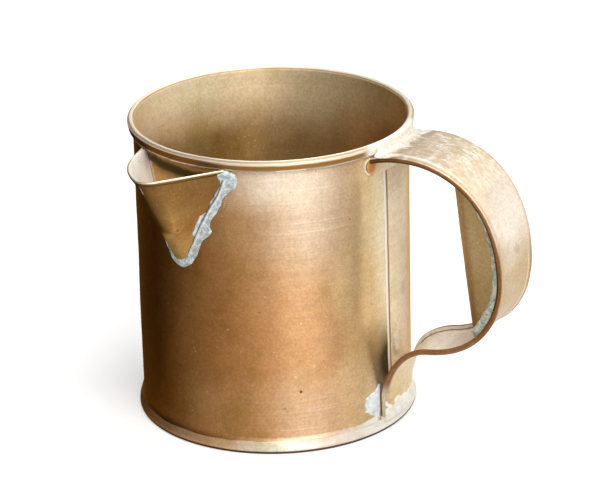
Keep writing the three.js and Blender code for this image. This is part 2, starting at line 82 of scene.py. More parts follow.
# Spout
SPOUT_ANGLE = -104.0
SPOUT_TOP = 131.0
SPOUT_FOOT = 84.6
SPOUT_REACH = 29.3
SPOUT_NORMAL = 65.5
TIP_SHIFT = 6.2
TIP_TURN = 26.0
NOSE_FOOT = 5.8
NOSE_NEAR = 6.8
NOSE_FAR = 39.6
SPOUT_HEM = 1.1
HEM_HEIGHT = 1.8
SPOUT_DIP = 4.0              # how far the sheet goes on below the spout's foot, inside the wall
HOLE = 4.2
HOLE_PITCH = 6.2
HOLE_STEP = 5.4
HOLE_ROWS = 4
HOLES_TOP = 110.0

# Handle
STRAP_TOP = 6.9
STRAP_RISE = 14.0
FURTHEST = (BODY_RADIUS + 56.0, BODY_HEIGHT - 54.5)
TOP_BEND = 27.0
SHOULDER_BEND = 40.0
HEEL_BEND = 11.5
COME_BACK = (BODY_RADIUS + 21.7, 41.9)
RETURN_SLOPE = 7.2
RETURN_BEND = 29.0
ANKLE_BEND = 18.5
LAND_HEIGHT = 17.0
STRAP_END = 6.6
STRAP_WIDE = 37.2
STRAP_NARROW = 25.6
STRAP_WIRE = 1.0
WRAP_HEIGHT = 42.0
TAB_HEIGHT = 8.6
TAB_WIDTH = 45.0
TAB_CORNER = 5.0
WALL_LINE = 8.0
EDGE_ROLL = STRAP_WIRE / 2 + SNUG + SHEET
GRIP_START = 32.2
GRIP_END = 122.3
GRIP_CORNER = 7.0
FLAP_GAP = 0.12


# Small helpers

def unit(angle):
    """The plan direction at an angle in degrees."""
    angle = np.radians(angle)
    return np.stack([np.cos(angle), np.sin(angle)], -1)


def around(angle, radius, z):
    """Places at an angle in degrees and a distance round the axis, and at a height."""
    angle, radius, z = np.broadcast_arrays(angle, radius, z)
    return np.concatenate([radius[..., None] * unit(angle), z[..., None]], -1)


def spun(place, angle):
    """Places turned round the axis by an angle in degrees."""
    along, across = unit(angle)
    x, y = place[..., 0], place[..., 1]
    return np.concatenate([np.stack([x * along - y * across, x * across + y * along], -1), place[..., 2:]], -1)


def normalised(direction):
    return direction / np.linalg.norm(direction, axis=-1, keepdims=True)


def half_turn(angle):
    """The same angle between -180 and 180 degrees."""
    return (angle + 180) % 360 - 180


def smooth(value):
    """0 up to 0 and 1 from 1, smooth between."""
    value = np.clip(value, 0, 1)
    return value * value * (3 - 2 * value)


def rise(value, start, width):
    """0 up to the start, 1 from the width beyond it."""
    return smooth((value - start) / width)


def fall(value, end, width):
    """0 from the end on, 1 up to the width before it."""
    return smooth((end - value) / width)


def bell(value, middle, width):
    """1 in the middle, falling off to 0 on both sides."""
    return np.exp(-((value - middle) / width) ** 2)


def mix(first, second, share):
    """The first at 0 and the second at 1."""
    return first + (second - first) * share


def arc(x, y, radius, start, end, steps):
    return np.array([x, y]) + radius * unit(np.linspace(start, end, steps + 1))


def track(*stops):
    """Points through places, with the number of steps between each two places."""
    runs = []
    for first, steps, second in zip(stops[:-2:2], stops[1::2], stops[2::2]):
        share = np.arange(steps)[:, None] / steps
        runs.append(mix(np.array(first, float), np.array(second, float), share))
    return np.concatenate(runs + [[stops[-1]]])


def arc_lengths(route):
    return np.concatenate([[0], np.cumsum(np.linalg.norm(np.diff(route, axis=0), axis=1))])


def ripple(seed, place, size, waves=14):
    """A smooth random value, mostly from -1 to 1, with bumps about so many millimetres apart."""
    rng = np.random.default_rng(seed)
    total = np.zeros(place.shape[:-1])
    for _ in range(waves):
        direction = rng.normal(size=place.shape[-1])
        direction /= np.linalg.norm(direction)
        turns = 2 * np.pi / (size * rng.uniform(0.7, 1.6))
        total += np.sin(place @ direction * turns + rng.uniform(0, 2 * np.pi))
    return total / np.sqrt(waves)


def ripples(place, *waves):
    """The sum of ripples, each given by its share, seed and size."""
    return sum(share * ripple(seed, place, size) for share, seed, size in waves)


# Meshes

def link(name, data):
    made = bpy.data.objects.new(name, data)
    bpy.context.scene.collection.objects.link(made)
    return made


def finish_mesh(mesh, sharp=38):
    work = bmesh.new()
    work.from_mesh(mesh)
    bmesh.ops.remove_doubles(work, verts=work.verts, dist=2e-7)
    bmesh.ops.recalc_face_normals(work, faces=work.faces)
    work.to_mesh(mesh)
    work.free()
    mesh.shade_smooth()
    mesh.set_sharp_from_angle(angle=math.radians(sharp))


def mesh_object(name, places, faces, sharp=38):
    mesh = bpy.data.meshes.new(name)
    mesh.from_pydata((places * MM).tolist(), [], faces)
    finish_mesh(mesh, sharp)
    return link(name, mesh)


def loft(name, grid, closed=False, sharp=38):
    """A solid through rows of closed outlines. A closed row of outlines has no ends."""
    rows, cols = grid.shape[:2]
    faces = []
    for i in range(rows if closed else rows - 1):
        here, after = i * cols, (i + 1) % rows * cols
        for j in range(cols):
            k = (j + 1) % cols
            faces.append((here + j, here + k, after + k, after + j))
    if not closed:
        faces.append(tuple(range(cols - 1, -1, -1)))
        faces.append(tuple(range((rows - 1) * cols, rows * cols)))
    return mesh_object(name, grid.reshape(-1, 3), faces, sharp)


def patch(name, top, under, sharp=70):
    """A thin closed piece between an upper and an under grid of places."""
    rows, cols = top.shape[:2]
    half = rows * cols
    index = np.arange(half).reshape(rows, cols)
    faces = []
    for i in range(rows - 1):
        for j in range(cols - 1):
            a, b, c, d = index[i, j], index[i, j + 1], index[i + 1, j + 1], index[i + 1, j]
            faces += [(a, b, c, d), (half + d, half + c, half + b, half + a)]
    border = [*index[0], *index[1:, -1], *index[-1, -2::-1], *index[-2:0:-1, 0]]
    faces += [(b, a, half + a, half + b) for a, b in zip(border, border[1:] + border[:1])]
    places = np.concatenate([top.reshape(-1, 3), under.reshape(-1, 3)])
    return mesh_object(name, places, [tuple(map(int, face)) for face in faces], sharp)


def cut(target, tool, operation="DIFFERENCE"):
    modifier = target.modifiers.new("cut", "BOOLEAN")
    modifier.operation = operation
    modifier.solver = "EXACT"
    modifier.object = tool
    bpy.context.view_layer.update()
    evaluated = target.evaluated_get(bpy.context.evaluated_depsgraph_get())
    mesh = bpy.data.meshes.new_from_object(evaluated)
    target.modifiers.clear()
    target.data = mesh
    bpy.data.objects.remove(tool)
    finish_mesh(mesh)
    return target


def lathe(name, outline, steps=240):
    angle = np.arange(steps) * 360 / steps
    return loft(name, around(angle[:, None], outline[:, 0], outline[:, 1]), closed=True)


def outside_drum(piece, radius, low=0):
    """What is left of a piece outside a closed drum."""
    high = BODY_HEIGHT + 20
    return cut(piece, lathe("drum", np.array([[AXIS, low], [radius, low], [radius, high], [AXIS, high]])))


def vertex_places(obj):
    place = np.zeros(len(obj.data.vertices) * 3, np.float32)
    obj.data.vertices.foreach_get("co", place)
    return place.reshape(-1, 3).astype(float) / MM


def paint(obj, name, value):
    """Keeps a value from 0 to 1 at each vertex, worked out from its place in millimetres."""
    layer = obj.data.attributes.new(name, "FLOAT", "POINT")
    layer.data.foreach_set("value", np.clip(value(vertex_places(obj)), 0, 1).astype(np.float32))


def tint(obj, colour):
    """Keeps a colour at each vertex, worked out from its place in millimetres."""
    layer = obj.data.attributes.new("tint", "FLOAT_COLOR", "POINT")
    rgb = colour(vertex_places(obj))
    rgba = np.concatenate([rgb, np.ones((len(rgb), 1))], 1)
    layer.data.foreach_set("color", rgba.astype(np.float32).ravel())


# Body wall

LAP_START = 354.0            # degrees from the seam at which the sheet's inner end starts
DENTS = ((10.1, 28.2, 3.2, 0.16), (3.3, 20.7, 2.6, 0.14), (-31.0, 44.0, 4.0, 0.12), (70.0, 60.0, 6.0, 0.2),
         (150.0, 80.0, 7.0, 0.22), (-120.0, 50.0, 5.0, 0.15))
RIM_EDGE = BODY_HEIGHT - RIM_DEPTH
WALL_BEND = 6.7


def seam_at(z):
    """The angle of the edge of the lap at a height."""
    return SEAM_ANGLE + SEAM_LEAN * (BODY_HEIGHT - z) / BODY_HEIGHT


def wall_dents(angle, z):
    """How far the wall is pushed in or out, from its hammered and handled surface."""
    swell = ripples(around(angle, BODY_RADIUS, z), (0.10, 3, 46), (0.035, 5, 15))
    for side, height, size, depth in DENTS:
        off = half_turn(side - FRONT - angle)
        away = np.hypot(np.radians(off) * BODY_RADIUS, z - height)
        swell = swell - depth * bell(away, 0, size)
    return swell * rise(z, 9, 8) * fall(z, BODY_HEIGHT - 6, 8)


def body_wall():
    """The wall's one sheet: its outer and inner face, rolled rim and flared foot, lapped at the seam."""
    middle = ROLL_OUTER - SHEET
    height = BODY_HEIGHT - ROLL_OUTER
    foot = SHEET + SNUG
    lip = (middle + ROLL_OUTER - RIM_LEAN, RIM_EDGE)
    inside = np.concatenate([
        track((FOOT_FLARE - SHEET, foot), 4, (-SHEET, WALL_BEND), 74, (-SHEET, height))[:-1],
        arc(middle, height, ROLL_OUTER, 180, 0, 22)[:-1],
        track(lip, 6, (middle + ROLL_OUTER, height))[-2:0:-1],
        track(lip, 2, (2 * middle - RIM_LEAN, RIM_EDGE), 4, (2 * middle, height))[:-1],
        arc(middle, height, middle, 0, 180, 12)[:-1],
    ])
    outside = track((0, height), 74, (0, WALL_BEND), 4, (FOOT_FLARE, foot))
    outline = np.concatenate([inside, outside])
    steps = np.unique(np.concatenate([
        np.arange(0, 360, 1.0), np.arange(0, JOGGLE, 0.5), [0.001, 359.999, LAP_START - 0.001, LAP_START + 0.001]]))
    steps = steps[steps > 0, None]
    outer_step = 1 - smooth(steps / JOGGLE)
    is_outside = np.arange(len(outline)) >= len(inside)
    set_in = np.where(~is_outside & (steps > LAP_START), 1.0, outer_step)
    x, z = (np.broadcast_to(outline[:, i], set_in.shape) for i in range(2))
    window = rise(z, 7, 3) * fall(z, RIM_EDGE - 1, 3) * (x < 0.1)
    angle = seam_at(z) + steps
    place = around(angle, BODY_RADIUS, z)
    push = wall_dents(angle, z) * (np.abs(x + SHEET / 2) < SHEET)
    roll = rise(z, RIM_EDGE - 0.5, 0.5) * (x > 0.2)
    uneven = np.abs(roll * ripples(place, (0.12, 8, 26), (0.05, 9, 7)))
    z = z + roll * fall(z, RIM_EDGE + 2.5, 2.5) * ripples(place, (0.18, 11, 22), (0.07, 12, 5))
    radius = BODY_RADIUS + x - (SHEET + SNUG) * set_in * window + push - uneven * 0.6 - 0.07 * roll
    return cut(loft("wall", around(angle, radius, z), closed=True, sharp=30), hole_cutters())


def hole_cutters():
    places, faces = [], []
    steps = 28
    ring = arc(0, 0, HOLE / 2, 0, 360, steps)[:-1]
    for row in range(HOLE_ROWS):
        for i in range(HOLE_ROWS - row):
            across = (i - (HOLE_ROWS - row - 1) / 2) * HOLE_PITCH
            near = list(range(len(places) * steps, (len(places) + 1) * steps))
            far = [j + steps for j in near]
            for reach in (BODY_RADIUS - 4, BODY_RADIUS + 3):
                disc = np.stack([np.full(steps, reach), ring[:, 0], HOLES_TOP - row * HOLE_STEP + ring[:, 1]], -1)
                places.append(spun(disc, SPOUT_ANGLE + math.degrees(across / BODY_RADIUS)))
            faces += [(near[j - 1], near[j], far[j], far[j - 1]) for j in range(steps)]
            faces += [tuple(near[::-1]), tuple(far)]
    return mesh_object("hole_cutters", np.concatenate(places), faces)


def bottom_pan():
    rim = PAN_RADIUS - PAN_LEAN
    corner = PAN_RADIUS - PAN_CORNER
    inner = PAN_RADIUS - SHEET
    lip = SHEET / 2
    outline = np.concatenate([
        track((AXIS, 0), 16, (corner, 0))[:-1],
        arc(corner, PAN_CORNER, PAN_CORNER, -90, 0, 8)[:-1],
        track((PAN_RADIUS, PAN_CORNER), 3, (PAN_RADIUS, PAN_BULGE), 6, (rim, PAN_HEIGHT - lip))[:-1],
        arc(rim - lip, PAN_HEIGHT - lip, lip, 0, 180, 8),
        track((rim - SHEET, PAN_HEIGHT - lip), 6, (inner, PAN_BULGE), 3, (inner, PAN_CORNER))[1:-1],
        arc(corner, PAN_CORNER, PAN_CORNER - SHEET, 0, -90, 4),
        track((corner, SHEET), 16, (AXIS, SHEET))[1:],
    ])
    reach, height = outline.T
    angle = np.arange(0, 360, 1.0)[:, None]
    grid = around(angle, reach, height)
    side = rise(height, 1.2, 3)
    radius = np.minimum(reach + side * (ripples(grid, (0.16, 21, 34), (0.07, 22, 9)) - 0.18), PAN_RADIUS)
    radius = np.where(height > PAN_BULGE, np.maximum(radius, BODY_RADIUS + 0.05), radius)
    z = height + side * 0.16 * ripple(23, grid, 18)
    z = z + 0.12 * (1 + ripple(24, grid, 40)) * fall(reach, PAN_RADIUS - 6, 12)
    return loft("bottom", around(angle, radius, np.maximum(z, 0)), closed=True)


# Spout

def nose_arcs(z):
    """The centre and radius of the near and the far arc of the nose at a height."""
    up = (z - SPOUT_FOOT) / (SPOUT_TOP - SPOUT_FOOT)
    near = mix(NOSE_FOOT, NOSE_NEAR, max(up, 0))
    far = mix(NOSE_FOOT, NOSE_FAR, max(up, 0))
    centre = np.array([BODY_RADIUS + SPOUT_REACH * up - near, TIP_SHIFT * up])
    return (centre, near), (centre + unit(-TIP_TURN) * (near - far), far)


def spout_plan(z, nose_steps=22, side_steps=20):
    """The plan of the spout at a height, from the near side round the nose, with its normals."""
    angles = (np.linspace(SPOUT_NORMAL, -TIP_TURN, nose_steps + 1),
              np.linspace(-TIP_TURN, -SPOUT_NORMAL, nose_steps + 1)[1:])
    normals = np.concatenate([unit(angle) for angle in angles])
    places = np.concatenate([centre + unit(angle) * radius for (centre, radius), angle in zip(nose_arcs(z), angles)])

    def side(place, normal):
        along = np.array([-abs(normal[1]), normal[0] * np.sign(normal[1])])
        length = (BODY_RADIUS - 10 - place[0]) / along[0]
        share = np.arange(side_steps, 0, -1)[:, None] / side_steps
        return place + along * length * share, np.repeat(normal[None], side_steps, 0)

    first, first_normal = side(places[0], normals[0])
    last, last_normal = side(places[-1], normals[-1])
    return (np.concatenate([first, places, last[::-1]]),
            np.concatenate([first_normal, normals, last_normal[::-1]]))


def spout():
    low, low_normal = spout_plan(SPOUT_FOOT - SPOUT_DIP)
    high, high_normal = spout_plan(SPOUT_TOP)
    height = SPOUT_TOP - SPOUT_FOOT + SPOUT_DIP
    hem_foot = height - HEM_HEIGHT
    fold = SPOUT_HEM / 2
    outline = np.concatenate([
        track((0, 0), 42, (0, hem_foot), 1, (0.2, hem_foot))[:-1],
        arc(SPOUT_HEM - SHEET - 0.25, hem_foot + 0.25, 0.25, -90, 0, 5),
        arc(SPOUT_HEM - SHEET - fold, height - fold, fold, 0, 180, 12),
        track((-SHEET, height - fold), 42, (-SHEET, 0))[1:],
    ])
    share = (outline[:, 1] / height)[:, None]
    normal = normalised(mix(low_normal[:, None], high_normal[:, None], share))
    plan = mix(low[:, None], high[:, None], share)
    z = np.broadcast_to(SPOUT_FOOT - SPOUT_DIP + outline[:, 1], plan.shape[:2])
    place = spun(np.concatenate([plan, z[..., None]], -1), SPOUT_ANGLE)
    reach = np.hypot(place[..., 0], place[..., 1])
    push = rise(reach, BODY_RADIUS + 1, 6) * fall(z, SPOUT_TOP - 3, 6) * ripples(place, (0.16, 31, 24), (0.04, 32, 9))
    plan = plan + normal * (outline[:, 0] + push)[..., None]
    top = fall(z, SPOUT_TOP + 3, 6) * (z > SPOUT_TOP - 3) * (0.5 + 0.5 * ripple(33, place, 22))
    grid = spun(np.concatenate([plan, (z - 0.25 * top)[..., None]], -1), SPOUT_ANGLE)
    shell = outside_drum(loft("spout_sheet", grid, sharp=34), BODY_RADIUS + SEAT * 0.4)
    return outside_drum(shell, BODY_RADIUS + RIM_PROUD + SEAT, RIM_EDGE - 0.6)


# Handle strap

def bezier(a, b, c, d, steps=400):
    t = np.linspace(0, 1, steps + 1)[:, None]
    return a * (1 - t) ** 3 + 3 * b * t * (1 - t) ** 2 + 3 * c * t * t * (1 - t) + d * t ** 3


def strap_path():
    """The middle line of the strap's wired edges, as distances from the axis and heights."""
    leave, furthest, come_back, land = (np.array(place, float) for place in (
        (BODY_RADIUS, BODY_HEIGHT - STRAP_TOP), FURTHEST, COME_BACK, (BODY_RADIUS + SEAT + EDGE_ROLL, LAND_HEIGHT)))
    climb, back, up = unit(STRAP_RISE), unit(RETURN_SLOPE), np.array([0.0, 1.0])
    return np.concatenate([
        track(leave - climb * WALL_LINE, 40, leave)[:-1],
        bezier(leave, leave + climb * TOP_BEND, furthest + up * SHOULDER_BEND, furthest)[:-1],
        bezier(furthest, furthest - up * HEEL_BEND, come_back + back * RETURN_BEND, come_back)[:-1],
        bezier(come_back, come_back - back * ANKLE_BEND, land + up * SNUG, land)[:-1],
        track(land, 40, (land[0], STRAP_END)),
    ])


PATH = strap_path()
PATH_AT = arc_lengths(PATH)
PATH_LENGTH = PATH_AT[-1]


def half_width(along):
    """Half the strap's width between the middles of its wired edges."""
    return mix(STRAP_WIDE, STRAP_NARROW, along / PATH_LENGTH) / 2


def path_frame(along, step=0.4):
    """The place on the path at each length along it, and the direction outwards."""
    def at(length):
        length = np.clip(length, 0, PATH_LENGTH)
        return np.stack([np.interp(length, PATH_AT, PATH[:, i]) for i in range(2)], -1)

    along = np.clip(along, 0, PATH_LENGTH)
    tangent = normalised(at(along + step) - at(along - step))
    return at(along), np.stack([-tangent[..., 1], tangent[..., 0]], -1)


def far_edge(along, across):
    """How far the strap stands out: less towards its far edge, where it was wrung, and in its dished heel."""
    after = along - WALL_LINE
    share = across / half_width(along)
    wrung = 1.2 * bell(after, 128, 11) + 0.6 * bell(after, 62, 22) + 1.1 * bell(along, PATH_LENGTH - 28, 7)
    dished = 1.6 * bell(after, 115, 12) * (1 - share ** 2)
    return -smooth(share * 0.5 + 0.5) * wrung - np.maximum(dished, 0)


def wrapped(across, height):
    """How far the strap's sides are bent back against the round wall near its lower end."""
    sag = BODY_RADIUS - np.sqrt(BODY_RADIUS ** 2 - across ** 2)
    return sag * fall(height, WRAP_HEIGHT, WRAP_HEIGHT - LAND_HEIGHT)


def on_strap(along, across, out):
    """The place so far along the strap, across it and out from the middle of its wired edges."""
    along, across, out = np.broadcast_arrays(*(np.asarray(v, float) for v in (along, across, out)))
    place, normal = path_frame(along)
    place = place + normal * (out + far_edge(along, across))[..., None]
    return np.stack([place[..., 0] - wrapped(across, place[..., 1]), across, place[..., 1]], -1)


def strap_outline(half):
    """The strap's section: a sheet with both edges rolled inwards round their wires."""
    inside = EDGE_ROLL - SHEET
    return np.concatenate([
        track((half, EDGE_ROLL), 26, (-half, EDGE_ROLL))[:-1],
        arc(-half, 0, EDGE_ROLL, 90, 375, 22),
        arc(-half, 0, inside, 375, 90, 14)[:-1],
        track((-half, inside), 26, (half, inside))[:-1],
        arc(half, 0, inside, 90, -195, 14),
        arc(half, 0, EDGE_ROLL, -195, 90, 22)[:-1],
    ])


def handle_strap():
    along = np.linspace(0, PATH_LENGTH, 301)[:, None]
    half = half_width(along)
    outline = np.stack([strap_outline(wide) for wide in half[:, 0]])
    across, out = outline[..., 0], outline[..., 1]
    place = on_strap(along, across, out)
    loose = rise(along, WALL_LINE + 6, 10) * fall(along, PATH_LENGTH - 22, 12)
    push = loose * ripples(place, (0.16, 41, 34), (0.05, 42, 12)) * fall(np.abs(across), half - 1.2, 3)
    push = push - 0.25 * rise(place[..., 0], FURTHEST[0] - 1, 1.5)
    wave = loose * 0.10 * ripple(43, place, 30)
    place = on_strap(along, across + wave * np.sign(across), out + push)
    return outside_drum(loft("strap", place, sharp=34), BODY_RADIUS + SEAT * 0.5)


def flap():
    """The end of the strap that turns down on the wall, with rounded lower corners."""
    steps = 90
    across = TAB_WIDTH * (np.arange(steps + 1) / steps - 0.5)
    top = BODY_HEIGHT - STRAP_TOP + EDGE_ROLL - SHEET / 2
    over = np.maximum(0, np.abs(across) - TAB_WIDTH / 2 + TAB_CORNER)
    low = top - TAB_HEIGHT + TAB_CORNER - np.sqrt(np.maximum(TAB_CORNER ** 2 - over ** 2, 0))
    base = BODY_RADIUS + FLAP_GAP
    face = base + SHEET
    rows = []
    for side, foot in zip(across, low + SHEET / 2):
        outline = np.concatenate([
            arc(base + SHEET / 2, foot, SHEET / 2, 180, 360, 8),
            track((face, foot), 8, (face, top), 2, (base, top), 8, (base, foot))[1:-1],
        ])
        rows.append(around(math.degrees(side / BODY_RADIUS), outline[:, 0], outline[:, 1]))
    return loft("flap", np.stack(rows))


def edge_wire(name, side):
    along = np.linspace(0, PATH_LENGTH - 0.4, 261)
    place = on_strap(along, half_width(along), 0)
    reach = np.hypot(place[:, 0], place[:, 1])
    keep = (along > PATH_LENGTH / 2) | (reach > BODY_RADIUS + 2 * SEAT + SHEET + STRAP_WIRE / 2)
    along = along[keep, None]
    outline = arc(0, 0, STRAP_WIRE / 2, 0, 360, 14)[:-1]
    return loft(name, on_strap(along, side * half_width(along) + outline[:, 0], outline[:, 1]))


def rim_wire():
    middle = BODY_RADIUS + ROLL_OUTER - SHEET
    return lathe("rim_wire_round", arc(middle, BODY_HEIGHT - ROLL_OUTER, RIM_WIRE / 2, 0, 360, 16)[:-1])


# Grip

GRIP_DEPTH = 56.0            # how deep the grip's sheet is before the strap's inner face cuts it off
GRIP_SPARE = 6.0             # how far it goes on at both ends before that


def grip_half(share):
    return half_width(WALL_LINE + mix(GRIP_START, GRIP_END, share)) - EDGE_ROLL - SEAT


def grip_outline(half, inset):
    """One face of the U-shaped sheet, the other one set in by its thickness."""
    side = half - GRIP_CORNER
    radius = GRIP_CORNER - inset
    face = half - inset
    return np.concatenate([
        track((GRIP_DEPTH, face), 24, (GRIP_CORNER, face))[:-1],
        arc(GRIP_CORNER, side, radius, 90, 180, 14),
        track((inset, side), 6, (inset, -side))[1:-1],
        arc(GRIP_CORNER, -side, radius, 180, 270, 14),
        track((GRIP_CORNER, -face), 24, (GRIP_DEPTH, -face))[1:],
    ])


def grip():
    start, end = (on_strap(WALL_LINE + at, 0, EDGE_ROLL - SHEET) for at in (GRIP_START, GRIP_END))
    reach = np.linalg.norm(end - start) / 2 + GRIP_SPARE
    lean = math.degrees(math.atan2(end[0] - start[0], start[2] - end[2]))
    rows = []
    for share in np.linspace(0, 1, 60):
        half = grip_half(share)
        out, across = np.concatenate([grip_outline(half, 0), grip_outline(half, SHEET)[::-1]]).T
        flat = np.stack([out, np.full_like(out, reach * (1 - 2 * share)), across], -1)
        row = (start + end) / 2 + spun(flat, lean)[:, [0, 2, 1]]
        row[:, 0] += 0.14 * ripple(51, row, 26) * fall(np.abs(across), half - 1, 4)
        bow = 0.12 * ripple(52, row, 22) * smooth(out / 6)
        row[:, 1] += np.minimum(bow * np.sign(across), 0) * np.sign(across)
        rows.append(row)
    trough = loft("grip", np.stack(rows), sharp=34)
    stations = WALL_LINE + GRIP_START / 2 + (GRIP_END - GRIP_START / 4) * np.linspace(0, 1, 160)
    place, normal = path_frame(stations)
    space = []
    for side in np.linspace(-STRAP_WIDE / 2, STRAP_WIDE / 2, 17):
        bent = far_edge(stations, side * 0.9)
        edge = place + normal * (EDGE_ROLL - SHEET - SEAT * 0.5 + bent)[:, None]
        space.append(np.stack([edge[:, 0], np.full(len(edge), side), edge[:, 1]], -1))
    return cut(trough, loft("grip_space", np.stack(space)), "INTERSECT")


# Solder

def foot_solder():
    """The solder between the wall and the pan's turned-up edge, open where the strap lands."""
    start = math.degrees(math.asin(STRAP_NARROW / 2 / BODY_RADIUS)) + 3
    angle = np.linspace(start, 360 - start, 700)[:, None]
    share = np.linspace(0, 1, 15)
    to_end = np.minimum(angle - start, 360 - start - angle)
    height = 1.3 + ripples(around(angle, BODY_RADIUS, 6.0), (0.15, 61, 22), (0.05, 62, 7))
    height = np.clip(height + 1.2 * fall(to_end, 14, 14), 0.5, 3.2)
    width = PAN_RADIUS - PAN_LEAN - 0.35 - BODY_RADIUS
    low = PAN_HEIGHT - 0.06
    radius = BODY_RADIUS + 0.02 + width * (1 - share) ** 1.8
    z = low + 0.1 + height * share ** 1.2
    lumps = np.sin(np.pi * share) * (0.10 + 0.03 * ripple(63, around(angle, radius, z), 6))
    top = around(angle, radius + lumps + 0.05 * (1 - share), z)
    under_radius = BODY_RADIUS - 0.1 + width * np.clip(1 - share * 2.5, 0, 1)
    return patch("foot_solder", top, around(angle, under_radius, np.minimum(z - 0.05, low + height * share)), 50)


def seam_solder():
    """The thin line of solder in the step of the lap."""
    z = np.linspace(9.4, 119.0, 220)[:, None]
    width = 0.8 + ripples(around(seam_at(z), BODY_RADIUS, z), (0.22, 71, 9), (0.1, 72, 3))
    side = np.maximum(width * (0, 0, 0.45, 1, 1), 0.02)
    lift = np.array([-0.72, -0.2, -0.38, -0.62, -0.76])
    return loft("seam_solder", around(seam_at(z) + np.degrees(side / BODY_RADIUS), BODY_RADIUS + lift, z), sharp=60)


def nose_at(z):
    """The near and far arcs of the nose at a height, between those at the sheet's two ends."""
    share = (z - SPOUT_FOOT + SPOUT_DIP) / (SPOUT_TOP - SPOUT_FOOT + SPOUT_DIP)
    return [(mix(low[0], high[0], share), mix(low[1], high[1], share))
            for low, high in zip(nose_arcs(SPOUT_FOOT - SPOUT_DIP), nose_arcs(SPOUT_TOP))]


def nose_offset(z, turn):
    """The nose's reach at a height in the plan direction at an angle, and the place there."""
    near, far = nose_at(z)
    centre, radius = near if turn > -TIP_TURN else far
    return centre @ unit(turn) + radius, centre + unit(turn) * radius


def spout_edge(z, side):
    """The angle from the spout's middle at which its flat side meets the wall at a height."""
    reach = nose_offset(z, side * SPOUT_NORMAL)[0]
    return side * (SPOUT_NORMAL - math.degrees(math.acos(reach / BODY_RADIUS)))


def spout_junction():
    """The line where the spout meets the wall, from the top of its near side round the foot to the far side.

    Each row has the place, the spout's outward normal there and 1 on the near side to -1 on the far one."""
    rows = []

    def add(plan, z, turn):
        slope = nose_offset(z + 0.5, turn)[0] - nose_offset(z - 0.5, turn)[0]
        rows.append([*plan, z, *normalised(np.array([*unit(turn), -slope])), turn / SPOUT_NORMAL])

    def foot_height(turn):
        low, high = SPOUT_FOOT - 6, SPOUT_TOP
        for _ in range(40):
            middle = (low + high) / 2
            within = np.hypot(*nose_offset(middle, turn)[1]) < BODY_RADIUS
            low, high = (middle, high) if within else (low, middle)
        return low

    def add_side(side, start, end):
        for z in np.linspace(start, end, 70):
            add(BODY_RADIUS * unit(spout_edge(z, side)), z, side * SPOUT_NORMAL)

    top = SPOUT_TOP - 0.9
    add_side(1, top, foot_height(SPOUT_NORMAL))
    for turn in np.linspace(SPOUT_NORMAL, -SPOUT_NORMAL, 60)[1:-1]:
        z = foot_height(turn)
        add(nose_offset(z, turn)[1], z, turn)
    add_side(-1, foot_height(-SPOUT_NORMAL), top)
    return np.array(rows)


def spout_solder():
    """A bead along the junction, spread over the wall on one side and over the spout on the other."""
    rows = spout_junction()
    length = arc_lengths(rows[:, :3])
    at = np.linspace(0, length[-1], 440)
    kernel = np.ones(11) / 11
    rows = np.stack([np.convolve(np.pad(np.interp(at, length, column), 5, mode="edge"), kernel, "valid")
                     for column in rows.T], -1)
    route, spout_out, near_side = rows[:, :3], normalised(rows[:, 3:6]), smooth(rows[:, 6] * 0.5 + 0.5)
    wall_out = normalised(route * (1, 1, 0))
    tangent = normalised(np.cross(spout_out, wall_out))
    on_wall, on_spout = np.cross(tangent, wall_out), np.cross(tangent, spout_out)
    on_wall *= np.sign((on_wall * spout_out).sum(1))[:, None]
    on_spout *= np.sign((on_spout * wall_out).sum(1))[:, None]
    foot = bell(route[:, 2], route[:, 2].min(), 6)
    wide = mix(1.5, 3.7, near_side) * (1 - 0.15 * foot) + ripples(route, (0.25, 81, 13), (0.2, 82, 4))
    wide += 1.9 * bell(at, 5.5, 3.4) + 2.0 * rise(at, 28.5, 1.6) * fall(at, 37, 6)
    wide -= 0.9 * rise(at, 20, 6) * fall(at, 28, 4)
    lap = mix(0.6, 0.8, near_side) * (1 - 0.2 * foot) + 0.25 * ripple(83, route, 5)
    lap += 4.2 * bell(at, 3.0, 3.4) + 1.9 * rise(at, 23, 3) * fall(at, 38, 3)
    round_end = np.sqrt(1 - (1 - np.minimum(np.minimum(at, at[-1] - at) / 3.0, 1)) ** 2)
    wide = np.maximum(wide, 0.7) * mix(0.25, 1, round_end)
    lap = np.maximum(lap, 0.4) * mix(0.25, 1, round_end)
    share = np.linspace(-1, 1, 31)
    sheet = np.where(share[:, None] > 0, (on_wall * wide[:, None])[:, None], -(on_spout * lap[:, None])[:, None])
    base = route[:, None] + sheet * share[:, None]
    out = normalised(mix(spout_out[:, None], wall_out[:, None], smooth(share * 1.6 + 0.5)[:, None]))
    body = 0.50 * (1 - np.abs(share) ** 5) ** 0.7 + 0.30 * bell(share, 0, 0.3) - 0.22 * bell(share, -0.04, 0.05)
    lumps = ripples(base, (0.07, 84, 3.4), (0.04, 85, 1.6)) * (1 - share ** 2)
    height = body * mix(0.75, 1.15, smooth(0.5 + 0.5 * ripple(86, route, 8)))[:, None] + lumps
    height = height + (0.55 * bell(at, 3.5, 4.2))[:, None] * (1 - share ** 4)
    height = np.maximum(height, 0.04) * mix(0.1, 1, round_end)[:, None]
    top = base + out * (height + 0.02)[..., None]
    return patch("spout_solder_bead", spun(top, SPOUT_ANGLE), spun(base - out * 0.12, SPOUT_ANGLE))


